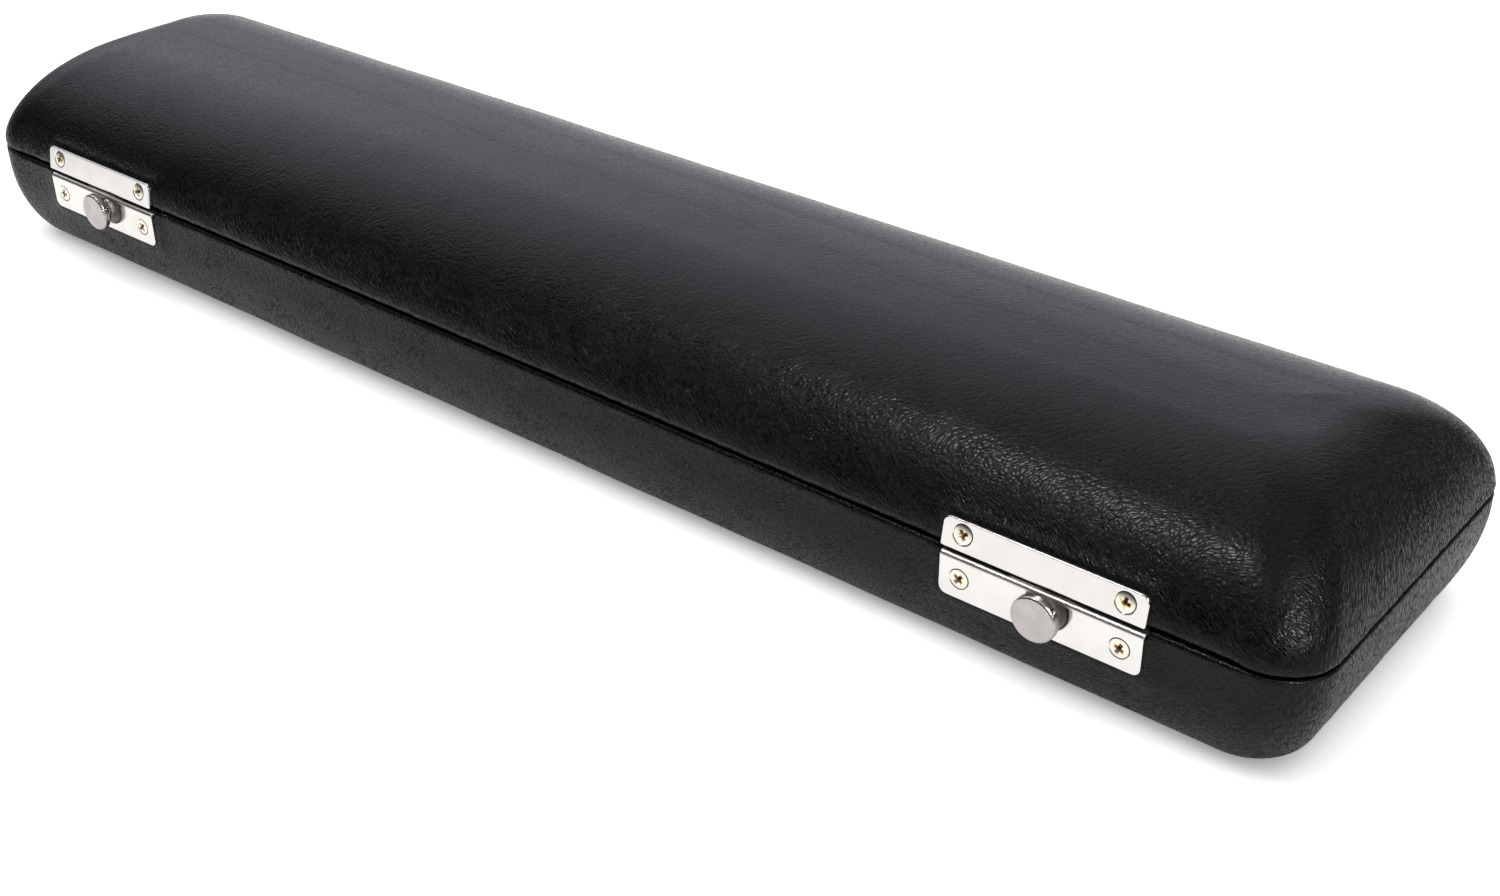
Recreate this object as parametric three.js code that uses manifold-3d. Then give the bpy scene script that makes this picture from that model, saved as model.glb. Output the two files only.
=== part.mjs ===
// Long hard case for a flute in three joints, closed. Millimetres, +Z up, X along the case,
// -Y is the front with the two push-button latches. Z = 0 is the flat underside.
import * as THREE from 'three';
import { mergeVertices } from 'three/addons/utils/BufferGeometryUtils.js';
import Module from 'manifold-3d';

// ---- driving dimensions ----
const LENGTH = 400, WIDTH = 92;          // over the leather, at the seam
const BASE_H = 26.5, LID_H = 26;         // below and above the seam plane
const SEAM_HALF = 0.2;                   // each rim stops this far from the seam plane
const CORNER_R = 12;                     // plan corner at the seam
const LEATHER = 1.2, GAP = 0.3, FLAP = 0.8;
const WALL = 4.5, LID_WALL = 4.0, CEILING = 4.0;
const FLOOR_Z = 5.0;                     // top of the wooden floor
const LID_SIDE = { v: 2, h: LID_H, a: 34, n: 1.6 };
const LID_END = { v: 0, h: LID_H, a: 24.4, n: 1.72 };
const BASE_SIDE = { v: 8, h: BASE_H, a: 10.3, n: 1.87 };
const BASE_END = { v: 4, h: BASE_H, a: 9.1, n: 1.62 };
const INSERT_PROUD = 2.5;                // fitted block stands this far above the seam plane
const TUBE_R = 10.7, TUBE_Z = 17.7;      // cradle for a 20 mm tube
const BODY_Y = 18.0, FRONT_Y = -17.6;    // centre lines of the two rows
const BODY_X = [-179, 179], HEAD_X = [-187, 39], FOOT_X = [53, 187];

const LATCH_X = 146.3, PLATE_HALF = 22.1, PLATE_T = 0.9, PLATE_R = 1.8;
const STRIKE_Z = [0.7, 7.1], STRIKE_LEAN = 10 * Math.PI / 180;
const LOWER_Z = [-10.2, -0.7];
const PLATE_BACK = WIDTH / 2 + GAP, PLATE_FACE = PLATE_BACK + PLATE_T;
const SCREW_DX = 17.5, STRIKE_SCREW_Z = 4.25, LOWER_SCREW_Z = -5.6;
const BUTTON_DX = 1.0, BUTTON_Z = -5.0, HEAD_R = 4.9, NECK_R = 2.8, SHANK_R = 1.5;
const BUTTON_FACE = WIDTH / 2 + 4.6, HEAD_T = 1.8;
const TONGUE_HALF = 7.2, TONGUE_Y = [-45.7, -44.9], TONGUE_END = -3.5;
const CATCH_Y = [-44.0, -43.2], POCKET_BACK = -40.9, POCKET_HALF = 8.5, POCKET_END = -9.6;
const SPRING_R = [2.05, 2.95];           // conical, so that its two turns sink into one another

const HINGE_X = 115, LEAF_HALF = 18, KNUCKLE_R = 1.5, BORE_R = 0.86, PIN_R = 0.78;
const HINGE_Y = PLATE_BACK + KNUCKLE_R, HINGE_SCREW_DX = 12;

const NC = 5;                            // segments per plan corner
const S = BASE_H;                        // height of the seam plane

const wasm = await Module();
wasm.setup();

const group = new THREE.Group();
const mats = {
  leather: new THREE.MeshStandardMaterial({ color: 0x141415, roughness: 0.48, metalness: 0 }),
  wood: new THREE.MeshStandardMaterial({ color: 0xb08a5c, roughness: 0.7, metalness: 0 }),
  velvet: new THREE.MeshStandardMaterial({ color: 0x4a1018, roughness: 0.95, metalness: 0 }),
  nickel: new THREE.MeshStandardMaterial({ color: 0xd9d4cc, roughness: 0.3, metalness: 1 }),
  screw: new THREE.MeshStandardMaterial({ color: 0xcfc6b2, roughness: 0.28, metalness: 1 }),
  spring: new THREE.MeshStandardMaterial({ color: 0x8d8f92, roughness: 0.35, metalness: 1 }),
};

// ---- geometry helpers ----
function clean(geo) {
  for (const k of ['normal', 'uv']) if (geo.getAttribute(k)) geo.deleteAttribute(k);
  let g = mergeVertices(geo, 1e-5);
  const p = g.getAttribute('position').array, ix = Array.from(g.index.array);
  let vol = 0; const out = [];
  for (let i = 0; i < ix.length; i += 3) {
    const [a, b, c] = [ix[i], ix[i + 1], ix[i + 2]];
    if (a === b || b === c || a === c) continue;
    out.push(a, b, c);
    const [ax, ay, az, bx, by, bz, cx, cy, cz] = [a, b, c].flatMap(k => [p[3 * k], p[3 * k + 1], p[3 * k + 2]]);
    vol += ax * (by * cz - bz * cy) - ay * (bx * cz - bz * cx) + az * (bx * cy - by * cx);
  }
  if (vol < 0) for (let i = 0; i < out.length; i += 3) [out[i + 1], out[i + 2]] = [out[i + 2], out[i + 1]];
  const r = new THREE.BufferGeometry();
  r.setAttribute('position', new THREE.BufferAttribute(new Float32Array(p), 3));
  r.setIndex(out);
  return r;
}
function toM(geo) {
  const g = clean(geo);
  return new wasm.Manifold(new wasm.Mesh({ numProp: 3,
    vertProperties: new Float32Array(g.getAttribute('position').array),
    triVerts: new Uint32Array(g.index.array) }));
}
function fromM(m) {
  const o = m.getMesh(), g = new THREE.BufferGeometry();
  g.setAttribute('position', new THREE.BufferAttribute(new Float32Array(o.vertProperties), 3));
  g.setIndex(Array.from(o.triVerts));
  return g;
}
function cut(geo, tools) {
  let m = toM(geo);
  for (const t of tools) m = m.subtract(toM(t));
  return fromM(m);
}
function join(parts) {
  let m = toM(parts[0]);
  for (const t of parts.slice(1)) m = m.add(toM(t));
  return fromM(m);
}
function add(name, mat, geo) {
  const g = clean(geo); g.computeVertexNormals();
  const mesh = new THREE.Mesh(g, mats[mat]); mesh.name = name; group.add(mesh);
}
// how far a wall of a domed profile has come in at height z from the seam
function inset(p, z) {
  const s = Math.min(1, Math.max(0, (z - p.v) / (p.h - p.v)));
  return p.a * (1 - Math.pow(Math.max(0, 1 - Math.pow(s, p.n)), 1 / p.n));
}
function ring(hl, hw, r, z, nc = NC) {
  const pts = [];
  r = Math.min(r, hl - 0.5, hw - 0.5);
  for (let q = 0; q < 4; q++) {
    const sx = q === 0 || q === 3 ? 1 : -1, sy = q < 2 ? 1 : -1;
    for (let i = 0; i <= nc; i++) {
      const t = (q + i / nc) * Math.PI / 2;
      pts.push([sx * (hl - r) + r * Math.cos(t), sy * (hw - r) + r * Math.sin(t), z]);
    }
  }
  return pts;
}
// closed body through a run of rings with the same number of points, capped flat at both ends
function loft(rings, x = 0, y = 0) {
  const n = rings[0].length, pos = [], ix = [];
  for (const r of rings) for (const p of r) pos.push(p[0] + x, p[1] + y, p[2]);
  for (let k = 0; k < rings.length - 1; k++) for (let j = 0; j < n; j++) {
    const a = k * n + j, b = k * n + (j + 1) % n, c = a + n, d = b + n;
    ix.push(a, b, d, a, d, c);
  }
  for (const [k, flip] of [[0, true], [rings.length - 1, false]]) {
    const c = pos.length / 3; pos.push(x, y, rings[k][0][2]);
    for (let j = 0; j < n; j++) {
      const a = k * n + j, b = k * n + (j + 1) % n;
      if (flip) ix.push(c, b, a); else ix.push(c, a, b);
    }
  }
  const g = new THREE.BufferGeometry();
  g.setAttribute('position', new THREE.BufferAttribute(new Float32Array(pos), 3));
  g.setIndex(ix);
  return g;
}
// rings of a domed surface, off = how far inside the leather's face, h = its own height
function dome(side, end, off, h, sgn, K, from = 0, flat = null) {
  const out = [];
  const fw = flat ? flat[1] : WIDTH / 2 - side.a, fl = flat ? flat[0] : LENGTH / 2 - end.a;
  const ps = { v: side.v, h, a: WIDTH / 2 - off - fw, n: side.n };
  const pe = { v: end.v, h, a: LENGTH / 2 - off - fl, n: end.n };
  for (let i = 0; i <= K; i++) {
    const z = from + (h - from) * Math.sin(i / K * Math.PI / 2);
    const a = inset(ps, z), b = inset(pe, z);
    out.push(ring(LENGTH / 2 - off - b, WIDTH / 2 - off - a,
      Math.max(2, CORNER_R - off - 0.06 * (a + b)), S + sgn * z));
  }
  return out;
}
const flatRing = (off, z, dr = 0) => ring(LENGTH / 2 - off, WIDTH / 2 - off, Math.max(2, CORNER_R - off + dr), z);
function box(x0, x1, y0, y1, z0, z1) {
  const g = new THREE.BoxGeometry(x1 - x0, y1 - y0, z1 - z0);
  g.translate((x0 + x1) / 2, (y0 + y1) / 2, (z0 + z1) / 2);
  return g;
}
// pocket or panel with rounded plan corners
function tray(x0, x1, y0, y1, r, levels) {
  const hx = (x1 - x0) / 2, hy = (y1 - y0) / 2;
  return loft(levels.map(([z, o]) => ring(hx - o, hy - o, Math.max(0.6, r - o), z, 3)), (x0 + x1) / 2, (y0 + y1) / 2);
}
// trough with a round bottom along X
function trough(x0, x1, y, r, zc, top) {
  const s = new THREE.Shape();
  s.moveTo(r, top - zc);
  s.lineTo(-r, top - zc);
  for (let i = 0; i <= 10; i++) {
    const t = Math.PI + i / 10 * Math.PI;
    s.lineTo(r * Math.cos(t), r * Math.sin(t));
  }
  const g = new THREE.ExtrudeGeometry(s, { depth: x1 - x0, bevelEnabled: false });
  g.rotateX(Math.PI / 2); g.rotateZ(Math.PI / 2);     // shape x -> y, shape y -> z, depth -> x
  g.translate(x0, y, zc);
  return g;
}
// solid of revolution about Y from a profile of [radius, y]
function turned(profile, seg) {
  return new THREE.LatheGeometry(profile.map(p => new THREE.Vector2(p[0], p[1])), seg);
}
// flat plate in the X-Z plane, from y = -t to y = 0, with rounded corners where asked
function plate(half, z0, z1, t, rTop, rBot) {
  const s = new THREE.Shape();
  s.moveTo(-half + rBot, z0); s.lineTo(half - rBot, z0);
  if (rBot) s.absarc(half - rBot, z0 + rBot, rBot, -Math.PI / 2, 0, false);
  s.lineTo(half, z1 - rTop);
  if (rTop) s.absarc(half - rTop, z1 - rTop, rTop, 0, Math.PI / 2, false);
  s.lineTo(-half + rTop, z1);
  if (rTop) s.absarc(-half + rTop, z1 - rTop, rTop, Math.PI / 2, Math.PI, false);
  s.lineTo(-half, z0 + rBot);
  if (rBot) s.absarc(-half + rBot, z0 + rBot, rBot, Math.PI, 1.5 * Math.PI, false);
  const g = new THREE.ExtrudeGeometry(s, { depth: t, bevelEnabled: false, curveSegments: 3 });
  g.rotateX(Math.PI / 2);
  return g;
}
// oval-head cross-recess screw: plate face at y = 0, head towards -Y, shank towards +Y
const SCREW_LEN = 5.0;
function screwGeo() {
  const body = turned([[0, -0.42], [1.2, -0.3], [2.02, 0.02], [1.02, 0.98], [0.95, 3.9], [0, SCREW_LEN]], 10);
  return cut(body, [box(-1.15, 1.15, -1, 0.3, -0.24, 0.24), box(-0.24, 0.24, -1, 0.3, -1.15, 1.15)]);
}
const SCREW = screwGeo();
// countersunk hole in a plate whose face is y = 0
const sinkTool = () => turned([[0, -0.5], [2.68, -0.5], [2.18, 0], [1.26, 0.92], [1.26, 1.4], [0, 1.4]], 12);
const shankTool = len => turned([[0, -3], [1.45, -3], [1.45, len], [0, len]], 8);
// put a piece made about the origin at a plate's face; lean tips the top away from the viewer
function place(geo, x, y, z, lean = 0, back = false) {
  const g = geo.clone();
  g.rotateX(-lean);
  if (back) g.rotateZ(Math.PI);
  g.translate(x, y, z);
  return g;
}
// point on the leaning upper plate's face at height z above the seam
const strikeFaceY = z => -(PLATE_FACE - (z - STRIKE_Z[0]) * Math.tan(STRIKE_LEAN));

// ---- what the latches and hinges cut out of the shells and covers ----
const baseCuts = [], lidCuts = [];
for (const sx of [-1, 1]) {
  const x0 = sx * LATCH_X, xb = x0 + BUTTON_DX;
  baseCuts.push(box(x0 - 22.5, x0 + 22.5, -50, -43.2, S - 1.95, S + 1));
  baseCuts.push(box(xb - POCKET_HALF, xb + POCKET_HALF, -50, POCKET_BACK, S + POCKET_END, S + 1));
  lidCuts.push(box(x0 - 7.9, x0 + 7.9, -50, -44.5, S - 1, S + 1.9));
  for (const d of [-1, 1]) {
    baseCuts.push(place(shankTool(5.4), x0 + d * SCREW_DX, -PLATE_FACE, S + LOWER_SCREW_Z));
    lidCuts.push(place(shankTool(5.4), x0 + d * SCREW_DX, strikeFaceY(STRIKE_SCREW_Z), S + STRIKE_SCREW_Z, STRIKE_LEAN));
  }
}
const LEAF_LEAN = 10 * Math.PI / 180, LEAF_LID_Z = [1.8, 8.6], LEAF_BASE_Z = [-10.2, -1.8];
const HINGE_BASE_SCREW_Z = -6.2, HINGE_LID_SCREW_Z = 5.4;
const leafFaceY = z => PLATE_FACE - (z - LEAF_LID_Z[0]) * Math.tan(LEAF_LEAN);
for (const sx of [-1, 1]) for (const d of [-1, 1]) {
  const x = sx * HINGE_X + d * HINGE_SCREW_DX;
  baseCuts.push(place(shankTool(5.4), x, PLATE_FACE, S + HINGE_BASE_SCREW_Z, 0, true));
  lidCuts.push(place(shankTool(5.4), x, leafFaceY(HINGE_LID_SCREW_Z), S + HINGE_LID_SCREW_Z, LEAF_LEAN, true));
}

// ---- base ----
{
  // leather skin with its rim turned in over the wooden wall
  const out = dome(BASE_SIDE, BASE_END, 0, BASE_H, -1, 8, 0).reverse();     // bottom ... seam
  out.pop();
  out.push(flatRing(0, S - 0.8), flatRing(0.17, S - 0.38), flatRing(0.6, S - SEAM_HALF));
  out.push(flatRing(1.5 + WALL, S - SEAM_HALF), flatRing(1.5 + WALL, S - SEAM_HALF - FLAP));
  const skin = dome(BASE_SIDE, BASE_END, LEATHER, BASE_H - LEATHER, -1, 6, SEAM_HALF + FLAP);
  out.push(...skin);
  add('base_cover', 'leather', cut(loft(out), baseCuts));
}
{
  const off = LEATHER + GAP, top = SEAM_HALF + FLAP + GAP;
  const out = dome(BASE_SIDE, BASE_END, off, BASE_H - off, -1, 6, top).reverse();
  const inn = dome(BASE_SIDE, BASE_END, off + WALL, S - FLOOR_Z, -1, 5, top, [186.4, 33.9]);
  add('base_shell', 'wood', cut(loft([...out, ...inn]), baseCuts));
}
{
  // fitted block: a velvet-covered body with troughs for the three joints
  const off = LEATHER + GAP + WALL + GAP, zb = FLOOR_Z + GAP, T = S + INSERT_PROUD;
  const out = dome(BASE_SIDE, BASE_END, off, S - zb, -1, 5, 1.2, [186.1, 33.6]).reverse();
  for (const [z, o] of [[-0.4, 0.4], [0.3, 1.3], [1.2, 1.6], [2.0, 2.1], [2.5, 3.1]]) out.push(flatRing(off + o, S + z, 1));
  const up = T + 4;
  const soft = (x0, x1, y0, y1, r, zb2) => tray(x0, x1, y0, y1, r, [[zb2, 1.8], [zb2 + 1.8, 0], [T - 0.8, 0], [T + 0.2, -0.8], [up, -0.8]]);
  add('base_insert', 'velvet', cut(loft(out), [
    trough(...BODY_X, BODY_Y, TUBE_R, TUBE_Z, up),
    trough(...HEAD_X, FRONT_Y, TUBE_R, TUBE_Z, up),
    trough(...FOOT_X, FRONT_Y, TUBE_R, TUBE_Z, up),
    soft(-160, -14, 2.4, 33.4, 6, 15),
    soft(0, 150, 2.4, 33.4, 6, 15),
    soft(-166, -106, -32.4, -3.2, 9, 10.5),
    soft(-44, -6, -31.6, -3.6, 10, 14),
    soft(62, 172, -32.6, -2.2, 6, 15),
  ]));
}

// ---- lid ----
{
  const inn = dome(LID_SIDE, LID_END, LEATHER, LID_H - LEATHER, 1, 7, SEAM_HALF + FLAP).reverse();
  const path = [...inn];
  path.push(flatRing(1.5 + LID_WALL, S + SEAM_HALF + FLAP), flatRing(1.5 + LID_WALL, S + SEAM_HALF));
  path.push(flatRing(0.62, S + SEAM_HALF), flatRing(0.2, S + 0.38));
  path.push(...dome(LID_SIDE, LID_END, 0, LID_H, 1, 9, 0.85));
  add('lid_cover', 'leather', cut(loft(path), lidCuts));
}
const LID_CAVITY_H = LID_H - LEATHER - GAP - CEILING;
{
  const off = LEATHER + GAP, low = SEAM_HALF + FLAP + GAP;
  const inn = dome(LID_SIDE, LID_END, off + LID_WALL, LID_CAVITY_H, 1, 5, low).reverse();
  add('lid_shell', 'wood', cut(loft([...inn, ...dome(LID_SIDE, LID_END, off, LID_H - off, 1, 7, low)]), lidCuts));
}
const LINING = 1.5;
{
  const off = LEATHER + GAP + LID_WALL + GAP, h = LID_CAVITY_H - GAP;
  const inn = dome(LID_SIDE, LID_END, off + LINING, h - LINING, 1, 5, 0.5).reverse();
  add('lid_lining', 'velvet', loft([...inn, ...dome(LID_SIDE, LID_END, off, h, 1, 5, 0.5)]));
}
{
  // padded panel under the crown, flat below and following the dome above
  const off = LEATHER + GAP + LID_WALL + GAP + LINING + GAP, h = LID_CAVITY_H - GAP - LINING - GAP;
  const up = dome(LID_SIDE, LID_END, off, h, 1, 4, 12.6);
  const [l0, w0] = [up[0][0][0], up[0][NC][1]];
  const low = [[10.9, 2.4], [11.15, 1.0], [11.8, 0.2]].map(([z, o]) => ring(l0 - o, w0 - o, 7, S + z));
  add('lid_pad', 'velvet', loft([...low, ...up]));
}

// ---- latches ----
function spring(x, z, y0, y1, R0, R1, wire, turns) {
  const pts = [];
  const n = Math.round(turns * 10);
  for (let i = 0; i <= n; i++) {
    const t = i / 10 * 2 * Math.PI, R = R0 + (R1 - R0) * i / n;
    pts.push(new THREE.Vector3(x + R * Math.cos(t), y0 + (y1 - y0) * i / n, z + R * Math.sin(t)));
  }
  const c = new THREE.Shape();
  c.absarc(0, 0, wire, 0, 2 * Math.PI, false);
  return new THREE.ExtrudeGeometry(c, { steps: n, extrudePath: new THREE.CatmullRomCurve3(pts), bevelEnabled: false, curveSegments: 5 });
}
for (const [side, sx] of [['left', -1], ['right', 1]]) {
  const x0 = sx * LATCH_X, xb = x0 + BUTTON_DX;
  // lower plate with its top edge bent inward over the rim, slotted for the tongue
  {
    const p = plate(PLATE_HALF, S + LOWER_Z[0], S + LOWER_Z[1] - 0.5, PLATE_T, 0, PLATE_R);
    p.translate(x0, -PLATE_BACK, 0);
    const bend = new THREE.Shape();
    const [yf, yi, zt] = [-PLATE_FACE, -43.7, S + LOWER_Z[1]];
    bend.moveTo(yf, zt - 1.4); bend.lineTo(yf + PLATE_T, zt - 1.4); bend.lineTo(yf + PLATE_T, zt - PLATE_T);
    bend.lineTo(yi, zt - PLATE_T); bend.lineTo(yi, zt); bend.lineTo(yf + 0.75, zt);
    for (let i = 1; i <= 4; i++) { const t = Math.PI / 2 * (1 + i / 4); bend.lineTo(yf + 0.75 + 0.75 * Math.cos(t), zt - 0.75 + 0.75 * Math.sin(t)); }
    const b = new THREE.ExtrudeGeometry(bend, { depth: 2 * PLATE_HALF, bevelEnabled: false });
    b.rotateX(Math.PI / 2); b.rotateZ(Math.PI / 2); b.translate(x0 - PLATE_HALF, 0, 0);
    const neck = turned([[0, -50], [NECK_R + 0.16, -50], [NECK_R + 0.16, -44], [0, -44]], 20);
    neck.translate(xb, 0, S + BUTTON_Z);
    add(`${side}_latch_plate`, 'nickel', cut(join([p, b]), [
      neck, box(x0 - 7.7, x0 + 7.7, -46.1, -43, S - 3, S + 1),
      ...[-1, 1].map(d => place(sinkTool(), x0 + d * SCREW_DX, -PLATE_FACE, S + LOWER_SCREW_Z))]));
  }
  // upper plate, leaning with the lid's side, with a web and a tongue that drops into the base
  {
    const p = plate(PLATE_HALF, 0, (STRIKE_Z[1] - STRIKE_Z[0]) / Math.cos(STRIKE_LEAN), PLATE_T, PLATE_R, 0);
    p.translate(0, PLATE_T, 0); p.rotateX(-STRIKE_LEAN); p.translate(x0, -PLATE_FACE, S + STRIKE_Z[0]);
    const web = box(x0 - TONGUE_HALF, x0 + TONGUE_HALF, -46.9, TONGUE_Y[1], S + STRIKE_Z[0] + 0.05, S + STRIKE_Z[0] + 0.85);
    const tongue = box(x0 - TONGUE_HALF, x0 + TONGUE_HALF, ...TONGUE_Y, S + TONGUE_END, S + STRIKE_Z[0] + 0.6);
    add(`${side}_strike_plate`, 'nickel', cut(join([p, web, tongue]), [
      box(xb - 4.5, xb + 4.5, -47, -44, S - 2.9, S - 1.3),
      ...[-1, 1].map(d => place(sinkTool(), x0 + d * SCREW_DX, strikeFaceY(STRIKE_SCREW_Z), S + STRIKE_SCREW_Z, STRIKE_LEAN))]));
  }
  for (const [tag, d] of [['a', -1], ['b', 1]]) {
    add(`${side}_latch_screw_${tag}`, 'screw', place(SCREW, x0 + d * SCREW_DX, -PLATE_FACE, S + LOWER_SCREW_Z));
    add(`${side}_strike_screw_${tag}`, 'screw', place(SCREW, x0 + d * SCREW_DX, strikeFaceY(STRIKE_SCREW_Z), S + STRIKE_SCREW_Z, STRIKE_LEAN));
  }
  // push button: flat head, neck in the plate's hole, shank riveted through the catch
  {
    const f = -BUTTON_FACE, u = f + HEAD_T;
    const g = turned([[0, f], [HEAD_R - 0.5, f], [HEAD_R, f + 0.5], [HEAD_R, u - 0.3], [HEAD_R - 0.3, u], [NECK_R, u],
      [NECK_R, -47.0], [SHANK_R, -47.0], [SHANK_R, CATCH_Y[0] - 0.06], [1.05, CATCH_Y[0] - 0.06],
      [1.05, CATCH_Y[1] + 0.06], [1.75, CATCH_Y[1] + 0.06], [1.75, -42.75], [0, -42.75]], 20);
    g.translate(xb, 0, S + BUTTON_Z);
    add(`${side}_push_button`, 'nickel', g);
  }
  // catch with a sloped nose, standing just behind the tongue's window
  {
    const nose = new THREE.Shape();
    nose.moveTo(CATCH_Y[0] + 0.3, S - 2.7); nose.lineTo(CATCH_Y[0] + 0.3, S - 1.1); nose.lineTo(CATCH_Y[0], S - 1.3);
    nose.lineTo(TONGUE_Y[1] + 0.3, S - 2.2); nose.lineTo(TONGUE_Y[1] + 0.3, S - 2.7);
    const n = new THREE.ExtrudeGeometry(nose, { depth: 7, bevelEnabled: false });
    n.rotateX(Math.PI / 2); n.rotateZ(Math.PI / 2); n.translate(xb - 3.5, 0, 0);
    const hole = turned([[0, -46], [1.15, -46], [1.15, -42], [0, -42]], 12);
    hole.translate(xb, 0, S + BUTTON_Z);
    add(`${side}_catch`, 'spring', cut(join([box(xb - 6, xb + 6, ...CATCH_Y, S - 8.6, S - 1.0), n]), [hole]));
  }
  add(`${side}_catch_spring`, 'spring', spring(xb, S + BUTTON_Z, CATCH_Y[1] + 0.32, POCKET_BACK - 0.32, ...SPRING_R, 0.17, 2));
}

// ---- hinges ----
function barrel(x0, x1) {
  const g = turned([[BORE_R, 0], [KNUCKLE_R, 0], [KNUCKLE_R, x1 - x0], [BORE_R, x1 - x0], [BORE_R, 0]], 12);
  g.rotateZ(-Math.PI / 2); g.translate(x0, HINGE_Y, S);
  return g;
}
const STEP = 2 * LEAF_HALF / 5, KG = 0.15;
const bores = x => { const g = turned([[0, -1], [BORE_R, -1], [BORE_R, 2 * LEAF_HALF + 2], [0, 2 * LEAF_HALF + 2]], 12); g.rotateZ(-Math.PI / 2); g.translate(x - LEAF_HALF, HINGE_Y, S); return g; };
for (const [side, sx] of [['left', -1], ['right', 1]]) {
  const xh = sx * HINGE_X, seg = k => [xh - LEAF_HALF + k * STEP + (k ? KG : 0), xh - LEAF_HALF + (k + 1) * STEP - (k < 4 ? KG : 0)];
  const own = { base: [0, 2, 4], lid: [1, 3] };
  const leaf = { base: plate(LEAF_HALF, LEAF_BASE_Z[0], LEAF_BASE_Z[1], PLATE_T, 0, PLATE_R),
    lid: plate(LEAF_HALF, 0, (LEAF_LID_Z[1] - LEAF_LID_Z[0]) / Math.cos(LEAF_LEAN), PLATE_T, PLATE_R, 0) };
  leaf.base.translate(xh, PLATE_FACE, S);
  leaf.lid.rotateX(LEAF_LEAN); leaf.lid.translate(xh, PLATE_FACE, S + LEAF_LID_Z[0]);
  for (const half of ['base', 'lid']) {
    const parts = [leaf[half]];
    for (const k of own[half]) {
      const [a, b] = seg(k);
      parts.push(barrel(a, b));
      parts.push(half === 'base' ? box(a, b, PLATE_BACK, PLATE_FACE, S - 2.1, S - 0.2) : box(a, b, PLATE_BACK, PLATE_FACE, S + 0.2, S + 2.1));
    }
    const tools = [bores(xh)];
    for (const d of [-1, 1]) tools.push(half === 'base'
      ? place(sinkTool(), xh + d * HINGE_SCREW_DX, PLATE_FACE, S + HINGE_BASE_SCREW_Z, 0, true)
      : place(sinkTool(), xh + d * HINGE_SCREW_DX, leafFaceY(HINGE_LID_SCREW_Z), S + HINGE_LID_SCREW_Z, LEAF_LEAN, true));
    add(`${side}_hinge_${half}_leaf`, 'nickel', cut(join(parts), tools));
  }
  const pin = turned([[0, 0], [PIN_R, 0], [PIN_R, 2 * LEAF_HALF], [0, 2 * LEAF_HALF]], 12);
  pin.rotateZ(-Math.PI / 2); pin.translate(xh - LEAF_HALF, HINGE_Y, S);
  add(`${side}_hinge_pin`, 'screw', pin);
  for (const [tag, d] of [['a', -1], ['b', 1]]) {
    const x = xh + d * HINGE_SCREW_DX;
    add(`${side}_hinge_base_screw_${tag}`, 'screw', place(SCREW, x, PLATE_FACE, S + HINGE_BASE_SCREW_Z, 0, true));
    add(`${side}_hinge_lid_screw_${tag}`, 'screw', place(SCREW, x, leafFaceY(HINGE_LID_SCREW_Z), S + HINGE_LID_SCREW_Z, LEAF_LEAN, true));
  }
}

export default group;
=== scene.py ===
# Long hard flute case, closed: black pebbled leather over a wooden box, two push-button latches in
# front, two hinges behind, velvet inside. Shapes are worked out in millimetres and scaled at the end.
import math

import bmesh
import bpy
import numpy as np
from mathutils import Matrix, Vector
from mathutils.kdtree import KDTree


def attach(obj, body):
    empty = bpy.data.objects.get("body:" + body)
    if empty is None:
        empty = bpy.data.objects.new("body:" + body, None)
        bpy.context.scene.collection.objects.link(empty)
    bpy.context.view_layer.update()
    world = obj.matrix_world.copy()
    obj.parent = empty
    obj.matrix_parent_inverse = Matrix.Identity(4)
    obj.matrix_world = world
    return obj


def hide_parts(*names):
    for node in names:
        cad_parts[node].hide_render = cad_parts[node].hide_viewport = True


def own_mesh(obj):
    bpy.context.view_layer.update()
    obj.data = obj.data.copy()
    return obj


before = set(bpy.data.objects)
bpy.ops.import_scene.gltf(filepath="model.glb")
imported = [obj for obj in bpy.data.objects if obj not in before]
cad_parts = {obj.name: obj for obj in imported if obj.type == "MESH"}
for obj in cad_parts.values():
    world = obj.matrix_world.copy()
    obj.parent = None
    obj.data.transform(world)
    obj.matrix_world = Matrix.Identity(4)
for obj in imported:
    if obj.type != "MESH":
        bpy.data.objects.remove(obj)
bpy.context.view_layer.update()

MM = 0.001
S = 26.5                                   # height of the seam plane

# ---- sizes shared with the CAD part ----
LENGTH, WIDTH, BASE_H, LID_H, SEAM_HALF, CORNER_R = 400.0, 92.0, 26.5, 26.0, 0.2, 12.0
LEATHER, GAP, WALL, LID_WALL, CEILING = 1.2, 0.3, 4.5, 4.0, 4.0
LID_SIDE, LID_END = dict(v=2, h=LID_H, a=34, n=1.6), dict(v=0, h=LID_H, a=24.4, n=1.72)
BASE_SIDE, BASE_END = dict(v=8, h=BASE_H, a=10.3, n=1.87), dict(v=4, h=BASE_H, a=9.1, n=1.62)
LATCH_X, PLATE_HALF, PLATE_T, PLATE_R = 146.3, 22.1, 0.9, 1.8
STRIKE_Z, STRIKE_LEAN, LOWER_Z = (0.7, 7.1), math.radians(10), (-10.2, -0.7)
PLATE_BACK, PLATE_FACE = 46.3, 47.2
SCREW_DX, STRIKE_SCREW_Z, LOWER_SCREW_Z = 17.5, 4.25, -5.6
BUTTON_DX, BUTTON_Z, HEAD_R, NECK_R, SHANK_R, BUTTON_FACE, HEAD_T = 1.0, -5.0, 4.9, 2.8, 1.5, 50.6, 1.8
TONGUE_HALF, TONGUE_Y, TONGUE_END = 7.2, (-45.7, -44.9), -3.5
CATCH_Y, POCKET_BACK, POCKET_HALF, POCKET_END = (-44.0, -43.2), -40.9, 8.5, -9.6
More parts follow.
